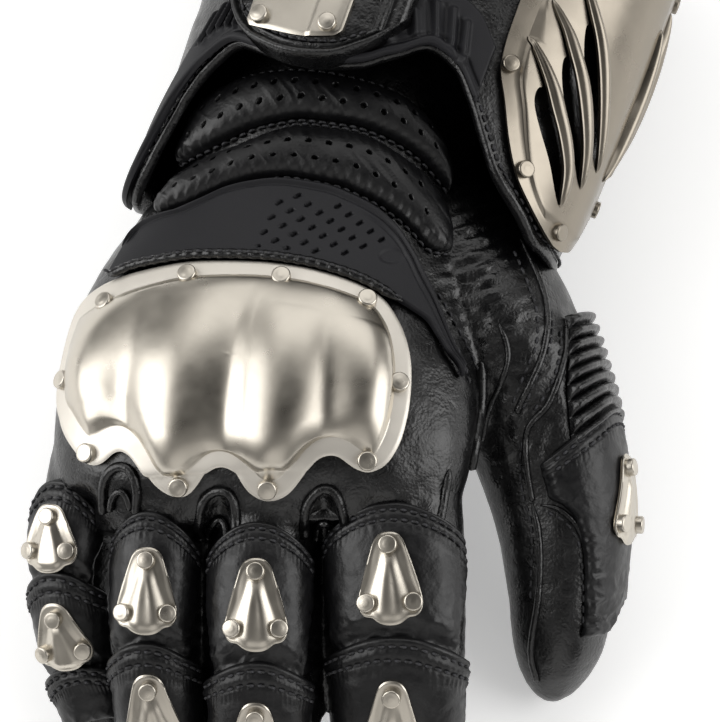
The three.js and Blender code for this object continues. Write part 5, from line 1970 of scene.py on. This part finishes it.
@dataclass
class CuffFrame:
    """The rubber frame along the arched rim of the cuff, with slanting fins on its flanks."""

    first: float = 188.0
    last: float = 68.0
    width: float = 0.11
    rim: float = 2.3
    grid: tuple[int, int] = (440, 60)
    # Foot and head of each fin: angle and share.
    fins: tuple = (
        ((146, 0.672), (141, 0.585)),
        ((142.5, 0.655), (138, 0.572)),
        ((139, 0.643), (135.5, 0.565)),
        ((135.5, 0.637), (133, 0.56)),
        ((132.3, 0.636), (130.6, 0.56)),
        ((94.5, 0.622), (96, 0.565)),
        ((90.5, 0.6), (92.5, 0.54)),
        ((86.5, 0.573), (89, 0.515)),
        ((82.5, 0.56), (85.5, 0.49)),
        ((78.5, 0.568), (81.5, 0.49)),
        ((74.5, 0.592), (77.5, 0.505)),
    )

    def build(self) -> None:
        """The frame with its raised rim and its fins."""

        def place(u: Array, v: Array) -> Array:
            """Points of the sheet for shares across and along."""
            angle = mix(self.first, self.last, u)
            edge = rim_at(angle) - 0.002
            share = edge - self.width * (1 - v)
            below = (1 - v) * self.width * CUFF.length
            near = np.minimum(from_ends(v) * self.width * CUFF.length, from_ends(u) * 120)
            fall = 1.5 * (1 - rounding(near, 1.1))
            rim = 1.1 * (1 - smooth(self.rim - 0.5, self.rim + 0.4, below))
            rim = rim - 0.5 * bell(below - self.rim - 1.0, 0.6)
            height = SEAT + RUBBER * 0.7 + rim - fall
            for foot, head in self.fins:
                t = np.clip((foot[1] - share) / (foot[1] - head[1]), 0, 1)
                middle = foot[0] + (head[0] - foot[0]) * t
                across = angle - middle
                ends = smooth(0, 0.12, t) * (1 - smooth(0.9, 1.0, t))
                height = height + ends * (1.25 * bell(across, 0.75) - 0.75 * bell(across - 1.7, 0.7))
            return CUFF.at(share, angle, height)

        frame_piece = draped_grid("moulded_cuff_frame", *self.grid, place)
        thicken(frame_piece, 1.2, UPWARDS)
        shade(frame_piece, SHEET_ANGLE)
        settle(frame_piece, Finish.RUBBER, "cuff_frame")


@dataclass
class WristPad:
    """The padded centre of the cuff's back: a bezel round leather, under a steel plate; the bezel wears the leather
    finish too.
    """

    outline: tuple = (
        (134, 0.36, 0.56), (130, 0.32, 0.615), (126, 0.305, 0.647), (120, 0.3, 0.67), (110, 0.3, 0.682),
        (101, 0.3, 0.67), (95, 0.31, 0.637), (91.5, 0.33, 0.605), (88.5, 0.37, 0.55),
    )
    height: float = 5.0
    seam_in: float = 5.2
    plate: tuple = (
        (123.5, 0.37, 0.63), (122, 0.36, 0.64), (111, 0.36, 0.642), (100.5, 0.36, 0.626), (99, 0.37, 0.612),
    )
    rivets: tuple = ((119.6, 0.62), (102.6, 0.607), (120, 0.4), (102.5, 0.4))

    def build(self, rivet: Rivet) -> Seams:
        """The pad, the steel plate and the line of stitches inside the bezel."""
        first, last = self.outline[0][0], self.outline[-1][0]

        def place(u: Array, v: Array) -> Array:
            """Points of the sheet for shares across and along."""
            angle = mix(first, last, u)
            top, bottom = eased(self.outline, angle, 1), eased(self.outline, angle, 2)
            share = mix(top, bottom, v)
            tall = (bottom - top) * CUFF.length
            near = np.minimum(from_ends(v) * tall, from_ends(u) * 46)
            fall = 4.6 * (1 - rounding(near, 1.6))
            ring = 1.5 * np.sqrt(np.clip(1 - ((near - 1.6) / 1.5) ** 2, 0, 1)) - 0.5 * bell(near - 3.5, 0.45)
            seam = 0.3 * bell(near - self.seam_in, 0.45)
            soft = 0.35 * smooth(4, 10, near) + 0.12 * crumple(CUFF.at(share, angle, 3), 6, 97, 2)
            return CUFF.at(share, angle, SEAT + self.height - fall + ring - seam + soft)

        pad = draped_grid("wrist_pad_and_bezel", 170, 170, place)
        thicken(pad, 1.2, UPWARDS)
        shade(pad, SHEET_ANGLE)
        settle(pad, Finish.SMOOTH_LEATHER, "wrist_pad", padded=0.7)
        low = SEAT + GAP + self.height + 0.25
        left, right = self.plate[0][0], self.plate[-1][0]

        def lay(u: Array, v: Array) -> Array:
            """Points of the sheet for shares across and along."""
            angle = mix(left, right, u)
            top, bottom = eased(self.plate, angle, 1), eased(self.plate, angle, 2)
            share = mix(top, bottom, v)
            near = np.minimum(from_ends(v) * 30, from_ends(u) * 24)
            line = 0.35 * smooth(0.68, 0.73, u) * (1 - 0.5 * smooth(0.9, 1.0, u))
            return CUFF.at(share, angle, low + STEEL - 0.3 * (1 - smooth(0, 0.5, near)) + line)

        plate = draped_grid("wrist_steel_plate", 90, 60, lay)
        thicken(plate, STEEL, UPWARDS)
        shade(plate, STEEL_ANGLE)
        spots = np.array(self.rivets)
        stood = CUFF.at(spots[:, 1], spots[:, 0], low + STEEL)
        studs = rivet.rows("wrist_rivets", stood, CUFF.normal(spots[:, 1], spots[:, 0]))
        settle(joined("wrist_steel_plate", [plate, studs]), Finish.STEEL, "wrist_plate")
        u = np.linspace(0.13, 0.87, 90)
        angle = mix(first, last, u)
        share = eased(self.outline, angle, 2) - self.seam_in / CUFF.length
        return [(CUFF.at(share, angle, SEAT + self.height + 0.2), CUFF.normal(share, angle))]


@dataclass(frozen=True)
class Louvre:
    """One louvre: a half-round hood and the vent it shelters.

    Attributes:
        line: rows of share and angle along the middle of the hood.
        wide: half width of the hood in degrees.
        vent: width of the vent in degrees, beside the hood.
        opens: share of the hood's length where the vent begins.
        side: 1 where the vent lies on the side of the greater angles.
    """

    line: tuple
    wide: float
    vent: float
    opens: float
    side: int = 1

    def edges(self, share: Array) -> tuple[Array, Array, Array, Array]:
        """Angles of the vent's far edge and of the hood's two edges, and the hood's fullness."""
        near, far = self.line[0][0], self.line[-1][0]
        t = np.clip((share - near) / (far - near), 0, 1)
        middle = eased(self.line, share, 1)
        full = np.clip(np.sin(math.pi * t), 0, 1) ** 0.45
        s = np.clip((t - self.opens) / (1 - self.opens), 0, 1)
        gap = np.clip(np.sin(math.pi * s**0.75), 0, 1) ** 0.8 * self.vent
        at_vent = middle + self.side * (0.02 + self.wide * full)
        away = middle - self.side * (0.02 + self.wide * full)
        return at_vent + self.side * (0.02 + gap), at_vent, away, full


@dataclass
class LouvredPlate:
    """The steel plate on the thumb side of the cuff, folded along a ridge, with louvred vents."""

    outline: tuple = (
        (0.12, 46, 6), (0.16, 54, -2), (0.27, 62, -10), (0.42, 67, -15), (0.5, 66.8, -15), (0.56, 65.7, -14.5),
        (0.621, 61, -12), (0.684, 55.4, -8), (0.736, 48.5, -1), (0.768, 40.5, 6.5), (0.794, 30.5, 13.5),
        (0.806, 23.5, 19),
    )
    rivets: tuple = (
        (63.4, 0.556), (47.6, 0.718), (23.5, 0.778), (-5, 0.66), (-11.5, 0.56), (-10.5, 0.42), (-3, 0.24),
        (57, 0.27),
    )
    louvres: tuple = (
        Louvre(
            (
                (0.495, 61.5), (0.512, 58.5), (0.535, 54.5), (0.565, 49.8),
                (0.6, 45), (0.64, 39), (0.69, 32.5), (0.742, 29),
            ),
            3.4, 6.0, 0.3,
        ),
        Louvre(
            (
                (0.418, 59), (0.438, 55.5), (0.46, 51.5), (0.487, 47.5),
                (0.525, 41.8), (0.577, 35), (0.637, 27.8), (0.69, 23),
            ),
            3.4, 5.0, 0.3,
        ),
        Louvre(
            ((0.35, 53), (0.38, 49.5), (0.41, 45.5), (0.45, 40), (0.52, 31.8), (0.585, 24.6), (0.645, 18.5)),
            3.0, 4.5, 0.26,
        ),
        Louvre(((0.34, 12), (0.4, 8.5), (0.48, 6), (0.56, 6), (0.64, 9)), 2.6, 2.6, 0.3, -1),
        Louvre(((0.28, 3), (0.34, -1), (0.42, -4), (0.5, -4.5), (0.58, -2.5)), 2.4, 2.4, 0.3, -1),
    )
    stand: float = 1.5
    hood: float = 2.9
    flange: float = 5.2

    def build(self, rivet: Rivet) -> None:
        """The plate with its vents, hoods and rivets."""
        rows = 230
        shares = np.linspace(self.outline[0][0], self.outline[-1][0], rows)
        first, last = eased(self.outline, shares, 1), eased(self.outline, shares, 2)
        columns: list[Array] = []
        lifts: list[Array] = []
        holes: list[bool] = []

        def stretch(a: Array, b: Array, count: int, lift: Callable[[float], Array], hole: bool = False) -> None:
            """Columns from a up to b, each lifted, and whether they lie over a vent."""
            for k in range(count):
                t = k / count
                columns.append(a * (1 - t) + b * t)
                lifts.append(lift(t))
                holes.append(hole)

        def level(_: float) -> Array:
            """No lift."""
            return np.zeros(rows)

        cursor = first
        for louvre in self.louvres:
            far, vent, foot, full = louvre.edges(shares)

            def hooded(t: float, full: Array = full, side: int = louvre.side) -> Array:
                """Lift over the hood, which never falls to nothing at its vent."""
                shown = max(t, 0.12) if side > 0 else min(t, 0.88)
                return self.hood * full * (1 - abs(2 * shown - 1) ** 2.2) ** 0.5

            if louvre.side > 0:
                far = np.minimum(far, cursor - 0.25)
                vent = np.minimum(vent, far - 0.02)
                foot = np.minimum(foot, vent - 0.02)
                if cursor is first:
                    # Columns of their own keep the crease of the flange straight.
                    creases = [first - (self.flange + past) * 1.05 for past in (0, 0.3, 0.7, 1.1)]
                    folds = [np.minimum(first, np.maximum(far, crease)) for crease in creases]
                    stretch(first, folds[0], 3, level)
                    for a, b in zip(folds, folds[1:]):
                        stretch(a, b, 1, level)
                    cursor = folds[-1]
                stretch(cursor, far, 5, level)
                stretch(far, vent, 2, level, True)
                stretch(vent, foot, 14, hooded)
                cursor = foot
            else:
                foot = np.minimum(foot, cursor - 0.25)
                vent = np.minimum(vent, foot - 0.02)
                far = np.minimum(far, vent - 0.02)
                stretch(cursor, foot, 6, level)
                stretch(foot, vent, 12, hooded)
                stretch(vent, far, 2, level, True)
                cursor = far
        stretch(cursor, last, 6, level)
        columns.append(last)
        lifts.append(np.zeros(rows))
        angle = np.minimum(first, np.maximum(last, np.array(columns)))
        spread = np.broadcast_to(shares, angle.shape)
        border = np.minimum(first - angle, angle - last) * 0.95
        ends = np.minimum(self.outline[-1][0] - spread, spread - self.outline[0][0]) * CUFF.length
        inner = smooth(self.flange, self.flange + 1.0, border) * smooth(4.0, 7.0, ends)
        ridge = 1.3 * bell(angle - 15, 9.0) * smooth(0.15, 0.3, spread)
        height = self.stand + STEEL + np.array(lifts) + 0.7 * inner + ridge
        points = CUFF.at(spread, angle, height, NO_FLOOR)
        widths = np.linalg.norm(np.diff(points, axis=0), axis=2)
        faces = []
        for i in range(len(columns) - 1):
            for j in range(rows - 1):
                if holes[i] and min(widths[i, j], widths[i, j + 1]) > 0.1:
                    continue
                faces.append((i * rows + j, (i + 1) * rows + j, (i + 1) * rows + j + 1, i * rows + j + 1))
        plate = mesh_piece("louvred_cuff_plate", points.reshape(-1, 3), faces)
        face_outwards(plate)
        thicken(plate, STEEL, CUFF.normal(np.array([0.5]), np.array([25.0]))[0])
        shade(plate, STEEL_ANGLE)
        spots = np.array(self.rivets)
        where = CUFF.at(spots[:, 1], spots[:, 0], self.stand + STEEL, NO_FLOOR)
        studs = rivet.rows("cuff_plate_rivets", where, CUFF.normal(spots[:, 1], spots[:, 0]), 0.95)
        # The plate wears the darker steel, painted shade.
        settle(joined("louvred_cuff_plate", [plate, studs]), Finish.SHADED_STEEL, "cuff_plate")


# ---- Studio ----


@dataclass(frozen=True)
class Glow:
    """A soft patch of light on the tent.

    Attributes:
        way: direction of its middle.
        reach: angle in degrees where it has faded out.
        core: angle in degrees up to which it is full.
        strength: how bright it is.
    """

    way: tuple[float, float, float]
    reach: float
    core: float
    strength: float


@dataclass
class Studio:
    """A white table under a dim tent with large softboxes, dark round the camera."""

    floor_size: float = 6.0
    floor_glow: float = 0.36
    ambient: float = 0.2
    glows: tuple = (
        Glow((0.0, 0.66, 0.75), 42, 16, 0.5),
        Glow((-0.8, -0.05, 0.6), 36, 10, 0.85),
        Glow((0.82, -0.1, 0.57), 36, 10, 0.9),
        Glow((0.0, -0.93, 0.37), 34, 12, 0.7),
    )
    zenith: Glow = Glow((0.0, 0.07, 1.0), 26, 12, 0.9)

    def floor(self) -> None:
        """The pale table, lit a little from below as a light table is."""
        deselect()
        bpy.ops.mesh.primitive_plane_add(size=self.floor_size, location=(0, 0, -0.0002))
        table = bpy.context.object
        table.name = "studio_table"
        material, tree = new_material("white_matte_laminate")
        place = add_node(tree, "ShaderNodeTexCoord").outputs["Object"]
        cloud = add_node(tree, "ShaderNodeTexNoise", {"Vector": place, "Scale": 8.0, "Detail": 3.0})
        shades = {0: cloud.outputs["Fac"], 6: linear("#f6f6f5"), 7: linear("#fafafa")}
        tone = add_node(tree, "ShaderNodeMix", shades, data_type="RGBA").outputs[2]
        lit = {"Emission Color": linear("#ffffff"), "Emission Strength": self.floor_glow}
        shader = add_node(tree, "ShaderNodeBsdfPrincipled", {"Base Color": tone, "Roughness": 0.85, **lit})
        add_node(tree, "ShaderNodeOutputMaterial", {"Surface": shader.outputs["BSDF"]})
        table.data.materials.append(material)

    def patch(self, tree: Tree, way: bpy.types.NodeSocket, glow: Glow) -> bpy.types.NodeSocket:
        """Brightness of one glow in every direction."""
        aim = tuple(unit(np.array(glow.way, float)).tolist())
        dot = add_node(tree, "ShaderNodeVectorMath", {0: way, 1: aim}, operation="DOT_PRODUCT").outputs["Value"]
        edge, full = math.cos(math.radians(glow.reach)), math.cos(math.radians(glow.core))
        span = {"Value": dot, "From Min": edge, "From Max": full, "To Min": 0.0, "To Max": glow.strength}
        fade = add_node(tree, "ShaderNodeMapRange", span, interpolation_type="SMOOTHSTEP")
        return fade.outputs["Result"]

    def tent(self) -> None:
        """The light of the tent: dim all round, bright patches, dark above."""
        world = bpy.data.worlds.new("softbox_tent")
        world.use_nodes = True
        tree = world.node_tree
        tree.nodes.clear()
        way = add_node(tree, "ShaderNodeTexCoord").outputs["Generated"]
        total = add_node(tree, "ShaderNodeValue")
        total.outputs[0].default_value = self.ambient
        light = total.outputs[0]
        for glow in self.glows:
            bright = self.patch(tree, way, glow)
            light = add_node(tree, "ShaderNodeMath", {0: light, 1: bright}, operation="ADD").outputs[0]
        dark = self.patch(tree, way, self.zenith)
        kept = add_node(tree, "ShaderNodeMath", {0: 1.0, 1: dark}, operation="SUBTRACT").outputs[0]
        light = add_node(tree, "ShaderNodeMath", {0: light, 1: kept}, operation="MULTIPLY").outputs[0]
        shine = add_node(tree, "ShaderNodeBackground", {"Color": (1.0, 0.985, 0.965, 1.0), "Strength": light})
        add_node(tree, "ShaderNodeOutputWorld", {"Surface": shine.outputs["Background"]})
        bpy.context.scene.world = world

    def softbox(self, name: str, place: tuple[float, float, float], size: float, power: float) -> None:
        """A square soft light aimed at the glove."""
        lamp = bpy.data.lights.new(name, "AREA")
        lamp.size, lamp.energy = size, power
        holder = bpy.data.objects.new(name, lamp)
        bpy.context.scene.collection.objects.link(holder)
        holder.location = place
        aim = Vector((0.02, -0.02, 0.05)) - Vector(place)
        holder.rotation_euler = aim.to_track_quat("-Z", "Y").to_euler()

    def camera(self) -> None:
        """The photograph's viewpoint."""
        shot = bpy.data.cameras.new("photograph")
        shot.sensor_width = SENSOR
        shot.lens = SENSOR * VIEW.distance * VIEW.scale / PHOTO_HEIGHT
        shot.clip_end = 20
        holder = bpy.data.objects.new("photograph", shot)
        bpy.context.scene.collection.objects.link(holder)
        eye = (np.array(VIEW.target) + VIEW.back * VIEW.distance) * MM
        axes = np.stack([[1.0, 0.0, 0.0], VIEW.up, VIEW.back], axis=1)
        turn = Matrix(axes.tolist()).to_4x4()
        holder.matrix_world = Matrix.Translation(Vector(eye)) @ turn
        bpy.context.scene.camera = holder

    def build(self) -> None:
        """Table, light and camera."""
        self.floor()
        self.tent()
        self.softbox("left_softbox", (-0.9, 0.05, 0.62), 0.9, 6.5)
        self.softbox("right_softbox", (1.0, -0.1, 0.62), 0.9, 5.5)
        self.softbox("back_softbox", (0.1, 0.9, 0.85), 1.1, 3.2)
        self.camera()
        bpy.context.scene.view_settings.view_transform = "Standard"


# ---- Assembly ----


def main() -> None:
    """Build every sub-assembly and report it."""
    logging.basicConfig(level=logging.INFO, format="%(message)s")
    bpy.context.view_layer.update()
    Studio().build()
    rivet = Rivet()
    seams: Seams = []
    leather = HandLeather()
    leather.build()
    seams += Trimmings(leather).build()
    for finger in FINGERS:
        seams += finger.build(rivet)
    seams += ThumbArmour().build(rivet)
    KnuckleGuard().build(rivet)
    seams += Yoke().build()
    for roll in ROLLS:
        seams += roll.build()
    seams += CuffSleeve().build()
    WristGusset().build()
    CuffFrame().build()
    seams += WristPad().build(rivet)
    LouvredPlate().build(rivet)
    Stitching().sew("black_stitching", seams)


if __name__ == "__main__":
    main()
